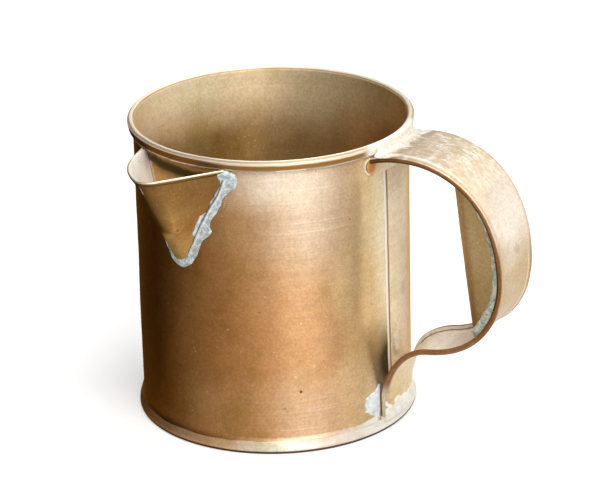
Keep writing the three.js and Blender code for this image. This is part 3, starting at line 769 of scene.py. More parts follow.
def handle_top_solder():
    """The fillet between the rolled rim and the strap."""
    inner = BODY_RADIUS + RIM_PROUD - 0.15
    spread = math.degrees(math.asin((STRAP_WIDE / 2 + 0.4) / inner))
    angle = np.linspace(-spread, spread, 150)[:, None]
    share = np.linspace(0, 1, 26)
    place = around(angle, inner, 131.0)
    side = angle / spread
    toe = 4.4 * (1 - 0.3 * side ** 2) + ripples(place, (0.5, 91, 9), (0.3, 92, 3.5))
    radius = inner + toe * share
    strap = on_strap(np.linspace(0, WALL_LINE + 30, 300), 0.0, EDGE_ROLL)
    floor = np.interp(radius * unit(angle)[..., 0], strap[:, 0], strap[:, 2])
    shelf = BODY_HEIGHT - ROLL_OUTER + 0.3 + 0.25 * ripple(93, place, 8)
    taper = fall(np.abs(side), 1, 0.22)
    fillet = (shelf - floor[:, :1]) * (1 - share) ** 3 * mix(0.25, 1, taper)
    lumps = np.sin(np.pi * share) * (0.08 + 0.06 * ripple(94, around(angle, radius, floor), 5))
    top = around(angle, radius, floor + 0.03 + fillet + lumps * taper)
    return patch("handle_top_fillet", top, around(angle, radius, floor - 0.12))


def handle_end_solder():
    """The ragged patch over the strap's lower end."""
    face = BODY_RADIUS + SEAT + 2 * EDGE_ROLL
    spread = math.degrees(math.asin((STRAP_NARROW / 2 + 1.0) / BODY_RADIUS))
    angle = np.linspace(-spread, spread, 150)[:, None]
    share = np.linspace(0, 1, 22)
    place = around(angle, BODY_RADIUS, 8.0)
    height = 3.4 + ripples(place, (1.5, 101, 7), (0.8, 102, 2.8)) + 3.5 * rise(angle, 4, 8)
    low = PAN_HEIGHT - 0.15
    z = low + (np.clip(height, 1.2, 9) + STRAP_END - low) * share
    radius = face + 0.05 + 0.45 * (1 - share) ** 0.7
    lumps = np.sin(np.pi * share) * (0.10 + 0.12 * ripple(103, around(angle, radius, z), 3.2))
    top = around(angle, np.minimum(radius + lumps, PAN_RADIUS + 1.6), z)
    return patch("handle_end_patch", top, around(angle, np.where(z < STRAP_END, BODY_RADIUS + 0.1, face - 0.15), z))


def side_splash():
    """The splash on the wall beside the strap's lower end: a ragged patch."""
    up = np.linspace(0, 1, 60)[:, None]
    z = mix(6.4, 22.8, up)
    wide = np.interp(up, [0, 0.1, 0.2, 0.32, 0.45, 0.6, 0.72, 0.79, 0.83, 1],
                     [4.6, 3.0, 6.0, 8.8, 10.0, 10.0, 8.8, 6.4, 2.2, 1.0])
    wide = wide + ripples(around(-18.0, BODY_RADIUS, z), (0.7, 111, 3.4), (0.6, 112, 1.4))
    share = np.linspace(0, 1, 34)
    angle = np.degrees((-14.2 - np.maximum(wide, 0.4) * share) / BODY_RADIUS)
    lift = (share * (1 - share) * 4) ** 0.5 * (0.42 + 0.16 * ripple(113, around(angle, BODY_RADIUS, z), 3))
    lift = lift * smooth(np.minimum(up, 1 - up) / 0.08)
    top = around(angle, BODY_RADIUS + 0.02 + lift, z)
    return patch("handle_side_splash", top, around(angle, BODY_RADIUS - 0.15, z))


def grip_solder(name, side):
    """A bead along one edge of the grip, against the strap's rolled edge."""
    share = np.linspace(0, 1, 240)[:, None]
    along = WALL_LINE + mix(GRIP_START + 6, GRIP_END - 4, share)
    face = side * grip_half((along - WALL_LINE - GRIP_START) / (GRIP_END - GRIP_START))
    place = on_strap(along, face, 0.0)
    width = np.interp(share, [0, 0.2, 0.45, 0.7, 0.93, 1], [0.7, 1.7, 2.4, 3.0, 3.4, 2.6])
    width = np.maximum(width + ripples(place, (0.2, 121 + side, 9), (0.12, 124 + side, 3)), 0.2)
    under_edge = EDGE_ROLL - SHEET - 0.1
    across = np.linspace(0, 1, 18)
    out = under_edge - (under_edge + EDGE_ROLL + width) * across
    thick = 0.75 * (1 - across) ** 0.8 + 0.12 + 0.1 * ripple(127 + side, on_strap(along, face, out), 2.6)
    lift = np.maximum(thick, 0.08) * fall(across, 1, 0.12) * smooth(np.minimum(share, 1 - share) / 0.02)
    return patch(name, on_strap(along, face + side * lift, out), on_strap(along, face - side * 0.15, out))


# Materials

def shade(red, green, blue):
    """A colour written as it looks on a screen, from 0 to 255."""
    def linear(value):
        value /= 255
        return value / 12.92 if value <= 0.04045 else ((value + 0.055) / 1.055) ** 2.4
    return (linear(red), linear(green), linear(blue), 1.0)


class Value:
    """An output in a node tree that can be added, subtracted and multiplied."""

    def __init__(self, nodes, socket):
        self.nodes = nodes
        self.socket = socket

    def __add__(self, other):
        return self.nodes.math("ADD", self, other)

    def __sub__(self, other):
        return self.nodes.math("SUBTRACT", self, other)

    def __rsub__(self, other):
        return self.nodes.math("SUBTRACT", other, self)

    def __mul__(self, other):
        return self.nodes.math("MULTIPLY", self, other)


class Nodes:
    """Writes the nodes of one material or of the world."""

    def __init__(self, owner, output="OutputMaterial"):
        owner.use_nodes = True
        self.owner = owner
        self.tree = owner.node_tree
        self.tree.nodes.clear()
        self.output = self.tree.nodes.new("ShaderNode" + output)
        self.place = self.node("TexCoord", "Object")

    def join(self, source, target):
        if isinstance(source, Value):
            self.tree.links.new(source.socket, target)
        else:
            target.default_value = source

    def node(self, kind, output, inputs=(), **settings):
        """A new node's output, with its inputs by their names or numbers."""
        made = self.tree.nodes.new("ShaderNode" + kind)
        for name, value in settings.items():
            setattr(made, name, value)
        for name, value in dict(inputs).items():
            self.join(value, made.inputs[name])
        return Value(self, made.outputs[output])

    def surface(self, shader):
        self.join(shader, self.output.inputs["Surface"])

    def math(self, operation, first, second=0.0):
        return self.node("Math", 0, {0: first, 1: second}, operation=operation)

    def laid(self, colour, *layers, blend="MIX"):
        """Tones laid over a colour, each by its share. A tone can be given as it looks on a screen."""
        for tone, share in layers:
            tone = shade(*tone) if isinstance(tone, tuple) else tone
            colour = self.node("Mix", 2, {0: share, 6: colour, 7: tone}, data_type="RGBA", blend_type=blend)
        return colour

    def scaled(self, x, y, z):
        return self.node("Mapping", 0, {"Scale": (x, y, z), "Vector": self.place})

    def noise(self, scale, detail=3.0, rough=0.55, place=None, bend=0.0):
        return self.node("TexNoise", "Fac", {"Scale": scale, "Detail": detail, "Roughness": rough,
                                             "Distortion": bend, "Vector": place or self.place})

    def waver(self, size, *noise):
        """Noise about 0, up to about half the size each way."""
        return (self.noise(*noise) - 0.5) * size

    def spots(self, scale, place=None):
        return self.node("TexVoronoi", "Distance", {"Scale": scale, "Vector": place or self.place})

    def between(self, value, low, high, unit=1.0):
        """0 below low, 1 above high, smooth between; low above high turns it round."""
        inputs = {"Value": value, "From Min": low * unit, "From Max": high * unit}
        return self.node("MapRange", "Result", inputs, interpolation_type="SMOOTHSTEP")

    def band(self, value, low, high, soft, unit=1.0):
        """1 between low and high, and 0 outside them, with soft sides."""
        return (self.between(value, low - soft, low + soft, unit)
                * self.between(value, high + soft, high - soft, unit))

    def painted(self, name, kind="Fac"):
        return self.node("Attribute", kind, attribute_name=name)

    def parts(self, place=None):
        first = self.node("SeparateXYZ", 0, {0: place or self.place})
        return [Value(self, socket) for socket in first.socket.node.outputs]

    def bump(self, height, strength, distance, **normal):
        inputs = {"Strength": strength, "Distance": distance, "Height": height, **normal}
        return self.node("Bump", "Normal", inputs)


class Metal(Nodes):
    def __init__(self, name):
        super().__init__(bpy.data.materials.new(name))
        self.shader = self.tree.nodes.new("ShaderNodeBsdfPrincipled")
        self.surface(Value(self, self.shader.outputs["BSDF"]))

    def set(self, inputs):
        for name, value in inputs.items():
            self.join(value, self.shader.inputs[name])


def brushed(nodes, x, y, z):
    """Fine lines left by brushing: noise drawn out along the flat directions."""
    fine = nodes.noise(1.0, 4.0, 0.7, nodes.scaled(x, y, z))
    coarse = nodes.noise(1.0, 2.0, 0.5, nodes.scaled(x * 0.35, y * 0.35, z * 0.3))
    return fine * 0.65 + coarse * 0.35


def brass(name, brush, warm=(255, 232, 214), green=(236, 240, 196), rough=0.38, wear=None, speckle=1.0):
    """Aged brushed brass in its painted tint, mottled from copper to olive, with grain, specks and stains, and with
    the painted shade and highlights that its masks carry.
    """
    nodes = Metal(name)
    clouds = nodes.noise(46.0, 5.0, 0.65)
    grain = nodes.noise(900.0, 3.0, 0.7)
    lines = brushed(nodes, *brush)
    patches = nodes.between(nodes.noise(17.0, 4.0, 0.6, bend=0.4), 0.38, 0.62)
    colour = nodes.laid(nodes.painted("tint", "Color"), (warm, patches * 0.45),
                        (green, nodes.between(clouds, 0.50, 0.72) * 0.6), blend="MULTIPLY")
    dark = nodes.laid(colour, ((70, 46, 20), 0.45), blend="MULTIPLY")
    colour = nodes.laid(colour, (dark, nodes.between(lines, 0.58, 0.34) * 0.22),
                        (dark, nodes.between(grain, 0.60, 0.36) * 0.34),
                        (dark, nodes.between(nodes.noise(240.0, 5.0, 0.7), 0.56, 0.38) * 0.20))
    light = nodes.laid(colour, ((255, 244, 224), 0.35))
    ragged = nodes.waver(1.5, 170.0, 6.0, 0.72)
    tarnish, pale, waves = nodes.painted("tarnish"), nodes.painted("pale"), nodes.noise(60.0, 2.0)
    # Dark olive where the tarnish mask is high: real tarnish and painted shade. Near white where the whitening mask
    # is high: real whitening and painted highlights.
    darkening = nodes.between(tarnish + ragged, 0.30, 0.95) * nodes.between(tarnish, 0.02, 0.3)
    bloom = nodes.between(pale - ragged * 0.8, 0.1, 0.9) * nodes.between(pale, 0.02, 0.3)
    pits = nodes.between(nodes.spots(330.0), 0.15, 0.08) * (nodes.between(waves, 0.58, 0.70) * speckle)
    flecks = (nodes.between(nodes.spots(270.0, nodes.scaled(1.0, 1.0, 1.37)), 0.14, 0.06)
              * nodes.between(nodes.noise(75.0, 2.0), 0.55, 0.64))
    colour = nodes.laid(colour, (light, nodes.between(grain, 0.60, 0.74) * 0.5), ((62, 50, 18), darkening * 0.9),
                        ((252, 248, 238), bloom * 0.9), ((70, 46, 22), pits * 0.5),
                        ((240, 228, 200), flecks * (0.6 * speckle)))
    if wear is not None:
        colour = wear(nodes, colour)
    dull = nodes.math("MAXIMUM", darkening * 0.3, bloom)
    roughness = nodes.between(lines, 0.3, 0.7) * 0.10 + (rough - 0.05) + nodes.between(clouds, 0.4, 0.7) * 0.09
    normal = nodes.bump(lines, 0.14, 0.00005)
    normal = nodes.bump(grain - pits * 2.0, 0.30, 0.00006, Normal=normal)
    nodes.set({"Base Color": colour, "Roughness": roughness + dull * 0.25,
               "Metallic": 1.0 - nodes.math("MAXIMUM", dull * 0.5, nodes.painted("matt")),
               "Normal": nodes.bump(waves, 0.25, 0.0004, Normal=normal)})
    return nodes


def rim_painted_light(nodes, colour):
    """The rolled rim's painted light: the white lines along its inner top and its lower edge, and the shine on its
    front, are painted highlights; the brown bands between them are partly the rim's own tarnish and partly painted
    shade.
    """
    x, y, z = nodes.parts()
    reach = nodes.math("SQRT", x * x + y * y)
    matt, pale = nodes.painted("matt"), nodes.painted("pale")
    out = reach - (BODY_RADIUS + ROLL_OUTER - SHEET) * MM
    up = z - (BODY_HEIGHT - ROLL_OUTER) * MM
    turn = nodes.math("ARCTAN2", up, out) + nodes.waver(0.5, 90.0, 4.0)
    on_roll = (nodes.between(z, RIM_EDGE - 0.2, RIM_EDGE, MM)
               * nodes.between(reach, BODY_RADIUS + 0.1, BODY_RADIUS + 0.3, MM))
    on_roll = nodes.math("MAXIMUM", on_roll, nodes.between(z, BODY_HEIGHT - 1.0, BODY_HEIGHT - 0.8, MM))
    on_roll = on_roll * nodes.between(pale + nodes.waver(0.9, 160.0, 4.0, 0.6), 0.7, 0.2)
    # front: the share of the painted highlight on the rim's front, read from the dull mask.
    front = nodes.between(matt, 0.16, 0.45)
    for low, high, soft, share, tone in (
            (-1.9, -0.45, 0.08, 0.85, (140, 98, 44)), (-0.45, 0.1, 0.08, 0.85, (150, 108, 54)),
            (0.1, 1.05, 0.08, 0.8, (146, 112, 64)), (1.2, 2.3, 0.08, 0.95, (252, 240, 220)),
            (2.3, 2.9, 0.08, 0.8, (188, 156, 108)), (0.5, 1.25, 0.1, front * 0.9, (190, 168, 142)),
            (-0.22, 0.62, 0.2, front * 0.85, (255, 240, 218))):
        colour = nodes.laid(colour, (tone, nodes.band(turn, low, high, soft) * on_roll * share))
    # edge: a painted highlight along the roll's lower edge, weaker at the front.
    edge = nodes.band(z, RIM_EDGE - 0.5, RIM_EDGE + 0.6, 0.08, MM)
    edge = edge * nodes.between(reach, BODY_RADIUS + 0.3, BODY_RADIUS + 0.5, MM)
    edge = edge * (nodes.between(nodes.noise(55.0, 4.0, 0.6), 0.30, 0.52) * 0.3 + 0.65)
    return nodes.laid(colour, ((255, 246, 230), edge * (1.0 - front * 0.75)))


def hem_painted_light(nodes, colour):
    """The spout's folded edge: a painted highlight on top, and below it brown with a dark line under it, painted
    shade under the fold.
    """
    below = SPOUT_TOP * MM - (nodes.parts()[2] + nodes.waver(0.0003, 80.0, 3.0))
    for low, high, share, tone in ((-0.5, 0.85, 0.92, (255, 236, 212)), (0.95, 1.55, 0.75, (140, 96, 52)),
                                   (1.85, 2.5, 0.8, (72, 46, 16))):
        mark = nodes.band(below, low, high, 0.08, MM) * nodes.between(nodes.painted("matt"), 0.5, 0.1)
        colour = nodes.laid(colour, (tone, mark * share))
    return colour


def marked(nodes, colour, radius, marks):
    """Small marks on an outer face, each with its azimuth, height, size, colour and strength."""
    for side, height, size, tone, share in marks:
        place = tuple(around(side - FRONT, radius, height) * MM)
        away = nodes.node("VectorMath", "Value", {0: nodes.place, 1: place}, operation="DISTANCE")
        colour = nodes.laid(colour, (tone, nodes.between(away, size, size * 0.4, MM) * share))
    return colour


PIT = (58, 40, 20)
FLECK = (250, 240, 216)
DIRT = (120, 108, 78)
WALL_MARKS = ((10.1, 28.2, 0.9, PIT, 0.85), (3.3, 20.7, 0.8, PIT, 0.35), (1.3, 4.6, 1.2, PIT, 0.4),
              (-23.0, 118.0, 0.5, FLECK, 0.7), (-20.5, 109.0, 0.4, FLECK, 0.7), (-50.0, 62.0, 0.5, FLECK, 0.5),
              (33.0, 104.0, 0.5, PIT, 0.6), (28.0, 84.0, 0.4, FLECK, 0.7), (-6.0, 66.0, 0.5, PIT, 0.5),
              (-35.2, 44.0, 0.6, FLECK, 0.45), (-35.8, 45.4, 0.5, FLECK, 0.45), (-19.5, 57.0, 0.7, FLECK, 0.35),
              (-24.5, 48.0, 0.4, FLECK, 0.5), (-30.0, 26.0, 0.6, FLECK, 0.3),
              *((-18.4 - 0.25 * i, 117.6 - 0.9 * i, 0.42, FLECK, 0.6) for i in range(6)),
              *((-17.2 - 0.25 * i, 115.0 - 0.9 * i, 0.36, FLECK, 0.45) for i in range(4)))
FOOT_MARKS = ((0.5, 3.6, 1.7, (176, 170, 144), 0.6), (2.6, 3.0, 1.0, DIRT, 0.6), (-1.4, 2.8, 0.9, DIRT, 0.5),
              (-31.0, 4.2, 0.7, FLECK, 0.5))


def seam_painted_light(nodes, colour):
    """The lap's edge: a bright line, a painted highlight on the rounded edge where it is also burnished, and a dark
    line beside it, painted shade in the step.
    """
    x, y, z = nodes.parts()
    below = BODY_HEIGHT * MM - z
    seam = below * (math.radians(SEAM_LEAN) / (BODY_HEIGHT * MM)) + math.radians(SEAM_ANGLE)
    off = (nodes.math("ARCTAN2", y, x) - seam) * BODY_RADIUS + nodes.waver(0.5, 70.0, 3.0)
    face = [((BODY_RADIUS - inset) * MM) ** 2 for inset in (1.3, 1.0)]
    shown = nodes.between(below, 5.5, 7.5, MM) * nodes.between(x * x + y * y, *face)
    bright = nodes.between(off, -1.7, -1.3) * nodes.between(off, 0.15, -0.1) * shown * 0.9
    dark = nodes.between(off, -0.05, 0.1) * nodes.between(off, 2.6, 2.1) * shown * 0.85
    return nodes.laid(colour, ((255, 252, 244), bright), ((150, 98, 34), dark))


def wall_wear_and_light(nodes, colour):
    # Whitish brush streaks, shown only where the wall's painted sheen is; then small marks, and the painted light of
    # the rim and of the seam.
    streaks = nodes.noise(1.0, 4.0, 0.62, nodes.scaled(16, 16, 2400))
    streaks = nodes.between(streaks, 0.53, 0.68) * nodes.painted("burnish")
    colour = nodes.laid(colour, ((255, 246, 230), streaks * 0.4))
    return seam_painted_light(nodes, rim_painted_light(nodes, marked(nodes, colour, BODY_RADIUS, WALL_MARKS)))


def strap_wear(nodes, colour):
    """Fine brown and white mottling on the strap near the rim, drawn out along it."""
    for low, high, share, tone in ((0.47, 0.56, 0.75, (190, 168, 124)), (0.545, 0.62, 0.85, (252, 248, 238))):
        fine = nodes.noise(1.0, 5.0, 0.72, nodes.scaled(330 * low, 760 * low, 330 * low))
        colour = nodes.laid(colour, (tone, nodes.between(fine, low, high) * share * nodes.painted("burnish")))
    return colour


def foot_shadow_line(nodes, colour):
    """A thin brown line round the very bottom, a painted contact shadow where it stands, and small marks above it."""
    colour = marked(nodes, colour, PAN_RADIUS + 1.5, FOOT_MARKS)
    return nodes.laid(colour, ((70, 42, 22), nodes.between(nodes.parts()[2], 1.6, 1.1, MM) * 0.95))


def solder(name, tone, tarnished, brown):
    nodes = Metal(name)
    clouds = nodes.noise(430.0, 6.0, 0.75, bend=0.3)
    fine = nodes.noise(900.0, 4.0, 0.7)
    darkening = nodes.between(nodes.noise(90.0, 5.0, 0.7), 0.56, 0.70)
    pits = nodes.between(nodes.spots(620.0), 0.18, 0.08) * nodes.between(nodes.noise(140.0), 0.5, 0.62)
    # The whitening mask lays painted highlights on the solder's ridges, and the tarnish mask lays painted shade in
    # its creases.
    colour = nodes.laid(shade(*tarnished), (tone, nodes.between(clouds, 0.40, 0.60)),
                        ((250, 252, 250), nodes.painted("pale") * 0.9),
                        ((60, 60, 48), nodes.painted("tarnish") * 0.95),
                        (brown, darkening * 0.55), ((96, 98, 88), pits * 0.7))
    height = clouds + fine * 0.35 - pits * 0.6
    nodes.set({"Base Color": colour, "Roughness": fine * 0.25 + 0.42, "Metallic": 0.45 - darkening * 0.25,
               "Normal": nodes.bump(height, 0.5, 0.0004)})
    return nodes


def steel():
    nodes = Metal("wire_steel")
    drawn = nodes.noise(500.0, 4.0, 0.7)
    rust = nodes.between(nodes.noise(160.0, 5.0, 0.7), 0.5, 0.68)
    colour = nodes.laid(shade(108, 104, 98), ((148, 142, 132), nodes.between(drawn, 0.35, 0.65)),
                        ((112, 70, 42), rust))
    nodes.set({"Base Color": colour, "Roughness": rust * 0.3 + 0.4, "Metallic": 0.95 - rust * 0.7,
               "Normal": nodes.bump(drawn, 0.3, 0.0001)})
    return nodes


# Masks and tints: wear, and painted light and shade

def rgb(tone):
    return np.array(shade(*tone)[:3])


def laid(colour, *layers):
    """Tones, given as they look on a screen, laid over a colour at each place, each by its share there."""
    colour = rgb(colour) if isinstance(colour, tuple) else colour
    for tone, share in layers:
        colour = mix(colour, rgb(tone), share[:, None])
    return colour


def angle_of(place):
    return np.degrees(np.arctan2(place[:, 1], place[:, 0]))


def reach_of(place):
    return np.hypot(place[:, 0], place[:, 1])


def off_seam(place):
    """Millimetres round the wall from the edge of the lap."""
    return np.radians(angle_of(place) - seam_at(place[:, 2])) * BODY_RADIUS


def azimuth(place):
    """Degrees round the jug from the front of the photograph towards its right."""
    return half_turn(angle_of(place) + FRONT)


def from_spout(place):
    """Millimetres round the wall from the middle of the spout."""
    return np.radians(half_turn(angle_of(place) - SPOUT_ANGLE)) * BODY_RADIUS


def outside_share(place):
    """1 on the wall's outer face and 0 on its inner one, also where the lap's inner end is set in."""
    turn = np.degrees(off_seam(place) / BODY_RADIUS)
    set_in = (SHEET + SNUG) * np.where(turn > -0.01, 1 - smooth(turn / JOGGLE), 0)
    return rise(reach_of(place) + set_in, BODY_RADIUS - 0.45, 0.3)


def spout_edges(z, side, foot=0.3):
    """Millimetres round the wall from the spout's middle to where its side meets the wall."""
    heights = np.linspace(SPOUT_FOOT + foot, SPOUT_TOP, 60)
    return np.interp(z, heights, [math.radians(spout_edge(at, side)) * BODY_RADIUS for at in heights])


def within_spout(place, soft=0.8):
    """1 on the part of the wall that the spout covers; also how far each place is from the spout's far edge."""
    z, off = place[:, 2], from_spout(place)
    to_far = off - spout_edges(z, -1)
    inside = smooth((spout_edges(z, 1) - off) / soft) * smooth(to_far / soft) * outside_share(place)
    return inside * (z > SPOUT_FOOT + 1.5) * (z < RIM_EDGE - 0.1), to_far


def slanted_height(place):
    """Height, made level along the painted shadow band that slants under the rim within the spout."""
    return place[:, 2] + 0.05 * (from_spout(place) + 21)


def wall_tarnish(place):
    """Where the wall is dark: painted shade beside the heel, darker towards the foot, a painted shadow band under the
    rim within the spout, painted shade on the left side, away from the light, and painted shade inside, deeper low
    down.
    """
    z, outside, side = place[:, 2], outside_share(place), off_seam(place)
    shadow = bell(np.minimum(side, -3), -3, 5) * bell(z, 31, 12) * (side < 1.0)
    near_foot = 0.30 * fall(z, 12, 7) * (0.5 + 0.5 * ripple(201, place, 20))
    rim_shadow_band = bell(slanted_height(place), 127.2, 2.4) * within_spout(place)[0]
    shaded_left_side = 0.22 * smooth(0.5 + 0.5 * ripple(202, place, 16)) * fall(azimuth(place), -10, 20)
    inside = (1 - outside) * (0.10 + 0.3 * fall(z, 70, 60))
    return np.maximum.reduce([shadow * 0.5 * outside, near_foot * outside, rim_shadow_band * 1.1, shaded_left_side * outside, inside])


def wall_pale(place):
    """Where the wall is whitened: real patina below the strap's shoulder, and at the rim by the handle and at the
    foot, partly solder and partly a painted highlight.
    """
    x, y, z = place.T
    patina = bell(off_seam(place), 6, 2.6) * bell(z, 37, 6) * 0.5
    handle = fall(np.abs(y + 2), 28, 13) * rise(z, 129.8, 0.8) * (x > 0) * 0.85
    foot = bell(y, -2, 22) * fall(z, 12, 9) * (x > 0) * 0.4
    return np.maximum.reduce([patina, handle, foot])


def burnish(place):
    """A painted highlight: where the wall's sheen is laid, on the upper part facing the camera, and a little low
    down.
    """
    z = place[:, 2]
    share = bell(azimuth(place), 14, 19) * (0.08 + 0.78 * rise(z, 72, 36) + 0.40 * fall(z, 40, 22))
    return share * outside_share(place) * (z < RIM_EDGE)


def top_glow(place):
    """The near-white shine under the rim at the front."""
    z = place[:, 2]
    return rise(z, 106, 18) * bell(azimuth(place), 3, 19) * outside_share(place) * (z < RIM_EDGE)


def wall_matt(place):
    """Where the wall is dull: beside the handle, within the spout and inside at the left of the photograph."""
    z, at, outside = place[:, 2], azimuth(place), outside_share(place)
    beside = rise(at, 34, 8) * fall(at, 78, 10) * outside * (z < BODY_HEIGHT - 4)
    beside = beside * np.where(off_seam(place) > -0.2, 1, rise(z, 42, 16))
    left = (1 - outside) * bell(half_turn(at + 142), 0, 50) * rise(z, 102, 16)
    roll = rise(z, RIM_EDGE, 0.4) * (reach_of(place) > BODY_RADIUS + 0.2)
    roll = roll * (0.1 + 0.4 * rise(at, -45, 45) + 0.4 * fall(at, -70, 30))
    crown = rise(z, BODY_HEIGHT - 1.4, 0.4)
    return np.maximum.reduce([beside * 0.85, within_spout(place)[0] * 0.85, left * 0.85, roll, 0.6 * crown,
                              0.75 * top_glow(place)])


# Tones by azimuth, partly the brass's own tone and partly painted light and shade: paler where highlights fall and
# towards the handle, darker on the left side, away from the light.
WALL_TONES_AND_LIGHT = (
    (-180, (204, 156, 104)), (-120, (190, 132, 76)), (-90, (226, 156, 90)), (-76, (222, 154, 86)),
    (-60, (180, 120, 62)), (-44, (188, 126, 64)), (-30, (204, 146, 84)), (-8, (220, 166, 108)),
    (10, (220, 172, 122)), (25, (214, 168, 116)), (33, (240, 206, 152)), (43, (238, 212, 162)),
    (51, (255, 242, 206)), (60, (252, 236, 204)), (75, (236, 218, 188)), (100, (230, 208, 172)),
    (140, (206, 166, 118)), (180, (204, 156, 104)))
# The foot's tones by azimuth, partly its own tone and partly painted highlight: near white in front and towards the
# handle, where solder also whitens it.
FOOT_TONES_AND_LIGHT = (
    (-180, (222, 186, 150)), (-70, (196, 150, 106)), (-30, (236, 192, 146)), (-18, (250, 214, 166)),
    (0, (255, 252, 244)), (20, (230, 208, 190)), (45, (255, 252, 248)), (70, (255, 250, 240)),
    (110, (226, 200, 168)), (180, (222, 186, 150)))


def tints(table, place, waver, seed):
    """A colour for each place from a table by azimuth, from the front of the photograph to its right."""
    angle = half_turn(angle_of(place) + FRONT + waver * ripple(seed, place, 34))
    sides, tones = zip(*table)
    colours = np.array([rgb(tone) for tone in tones])
    return np.stack([np.interp(angle, sides, colours[:, i]) for i in range(3)], -1)


def plain_wall_tint(place, waver=4.0):
    return tints(WALL_TONES_AND_LIGHT, place, waver, 211)


def plain_foot_tint(place):
    return tints(FOOT_TONES_AND_LIGHT, place, 5.0, 213)


def wall_tint(place):
    z, at, side = place[:, 2], azimuth(place), off_seam(place)
    within, to_far = within_spout(place)
    shadow = bell(np.minimum(side, -0.8), -0.8, 9) * bell(z, 32, 12.5) * (side < 0.2)
    patina = bell(side, 6, 3.5) * bell(z, 36, 7) * smooth(0.5 + ripple(215, place, 5))
    # Outside: the azimuth tones, then a painted highlight where the wall's sheen is, painted light at -20° high and
    # low, the painted highlight under the rim at the front, a painted highlight low at 32°, painted shade beside the
    # strap's lower end, real patina beside the seam, the wall within the spout lightened as painted reflected light,
    # the painted shadow of the rim there, and a cream fillet of solder at the spout's far edge.
    outside = laid(
        plain_wall_tint(place),
        ((228, 210, 186), burnish(place)),
        ((226, 180, 122), bell(at, -20, 15) * (0.5 * rise(z, 80, 20) + 0.6 * fall(z, 40, 20))),
        ((255, 242, 220), 0.97 * top_glow(place)),
        ((252, 222, 176), bell(at, 32, 7) * fall(z, 46, 16) * 0.8),
        ((66, 56, 18), np.clip(1.25 * shadow, 0, 0.94)),
        ((150, 158, 130), patina * 0.9),
        ((222, 178, 112), within),
        ((66, 40, 8), 0.95 * bell(slanted_height(place), 126.4, 3.0) * within * smooth(to_far / 9)),
        ((255, 250, 232), within * fall(to_far, 2.8, 0.6)))
    # Inside: the last tone, lighter towards the rim, is painted light falling in over the rim.
    mottled = bell(half_turn(at + 168), 0, 24) * fall(z, 117, 10) * smooth(0.8 + 0.4 * ripple(216, place, 12))
    low_edge = 97 + 8 * bell(at, -150, 18)
    inside = laid(
        (196, 162, 108),
        ((176, 138, 86), smooth(0.5 + 0.5 * ripple(212, place, 30))),
        ((255, 214, 156), bell(at, 140, 26) * 0.6),
        ((128, 94, 46), 0.6 * mottled),
        ((176, 142, 92), bell(at, 160, 14) * 0.2),
        ((255, 238, 198), rise(z - 2 * ripple(214, place, 26), low_edge, 130 - low_edge)))
    return mix(inside, outside, outside_share(place)[:, None])


def foot_tint(place):
    return laid(plain_foot_tint(place), ((186, 148, 96), fall(reach_of(place), PAN_RADIUS - 3, 2)))


def foot_solder_tint(place):
    """The solder round the foot has the wall's colour, but pales near the handle and in front, taking the foot's
    tones with their painted highlights.
    """
    at = azimuth(place)
    share = np.maximum(bell(at, 58, 26), 0.35 * bell(at, 8, 30))
    return mix(plain_wall_tint(place), plain_foot_tint(place), share[:, None])


def foot_pale(place):
    # Whitened towards the handle: partly solder, partly a painted highlight.
    return bell(angle_of(place), -6, 34) * 0.85 * (reach_of(place) > PAN_RADIUS - 3)


def strap_place(place):
    """Where each place is on the strap: how far along, across and out, and how far from its edges."""
    across = place[:, 1]
    flat = np.stack([place[:, 0] + wrapped(np.clip(np.abs(across), 0, 25), place[:, 2]), place[:, 2]], -1)
    steps = np.linspace(0, PATH_LENGTH, 500)
    middle, normal = path_frame(steps)
    nearest = np.concatenate([
        np.argmin(((part[:, None] - middle[None]) ** 2).sum(-1), 1) for part in np.array_split(flat, 40)])
    along = steps[nearest]
    out = ((flat - middle[nearest]) * normal[nearest]).sum(-1) - far_edge(along, across)
    half = half_width(along)
    return SimpleNamespace(after=along - WALL_LINE, to_end=along - PATH_LENGTH, across=across, out=out,
                           near=half + across, far=half - across, edge=half - np.abs(across),
                           outer=out > EDGE_ROLL - SHEET / 2)


def strap_tint(place):
    at = strap_place(place)
    lip = fall(at.edge, 1.5, 0.5) * rise(at.edge, -0.6, 0.5)
    on_heel = rise(at.after, 76, 14) * fall(at.after, 146, 6)
    outer = laid(
        (244, 232, 214),
        ((200, 172, 124), rise(at.after + 4 * ripple(229, place, 24), 62, 34)),
        ((178, 150, 98), rise(at.to_end, -52, 10)),
        ((226, 202, 152), rise(at.to_end - 0.4 * at.across, -34, 12)),
        ((226, 206, 178), fall(at.after, 62, 26) * smooth(0.8 + 0.3 * ripple(221, place, 5))),
        ((204, 168, 126), 0.7 * lip),
        ((202, 164, 118), 0.6 * rise(at.after, 104, 12) * fall(at.after, 140, 6)),
        # On the heel: the far rolled edge in brown, and a white line beside it, a painted highlight.
        ((176, 128, 62), 0.85 * on_heel * fall(at.far, 2.9, 0.8)),
        ((255, 246, 222), 0.7 * on_heel * bell(at.far, 3.4, 0.6)))
    inner = laid((214, 190, 160), ((255, 246, 232), rise(at.after, 108, 14)))
    brown = laid((144, 96, 52), ((228, 216, 188), 0.75 * rise(at.to_end, -18, 8)))
    near_lip = rise(at.after, 96, 8) * fall(at.edge, 0.8, 0.5) * (at.across < 0) * at.outer
    rolled = fall(at.edge, 0.35, 0.4) * fall(at.out, EDGE_ROLL - 0.12, 0.25)
    under = fall(at.edge, 0.9, 0.4) * fall(at.out, EDGE_ROLL - SHEET, 0.3)
    colour = mix(np.where(at.outer[:, None], outer, inner), brown, near_lip[:, None])
    return mix(colour, brown, np.maximum(rolled, under)[:, None])


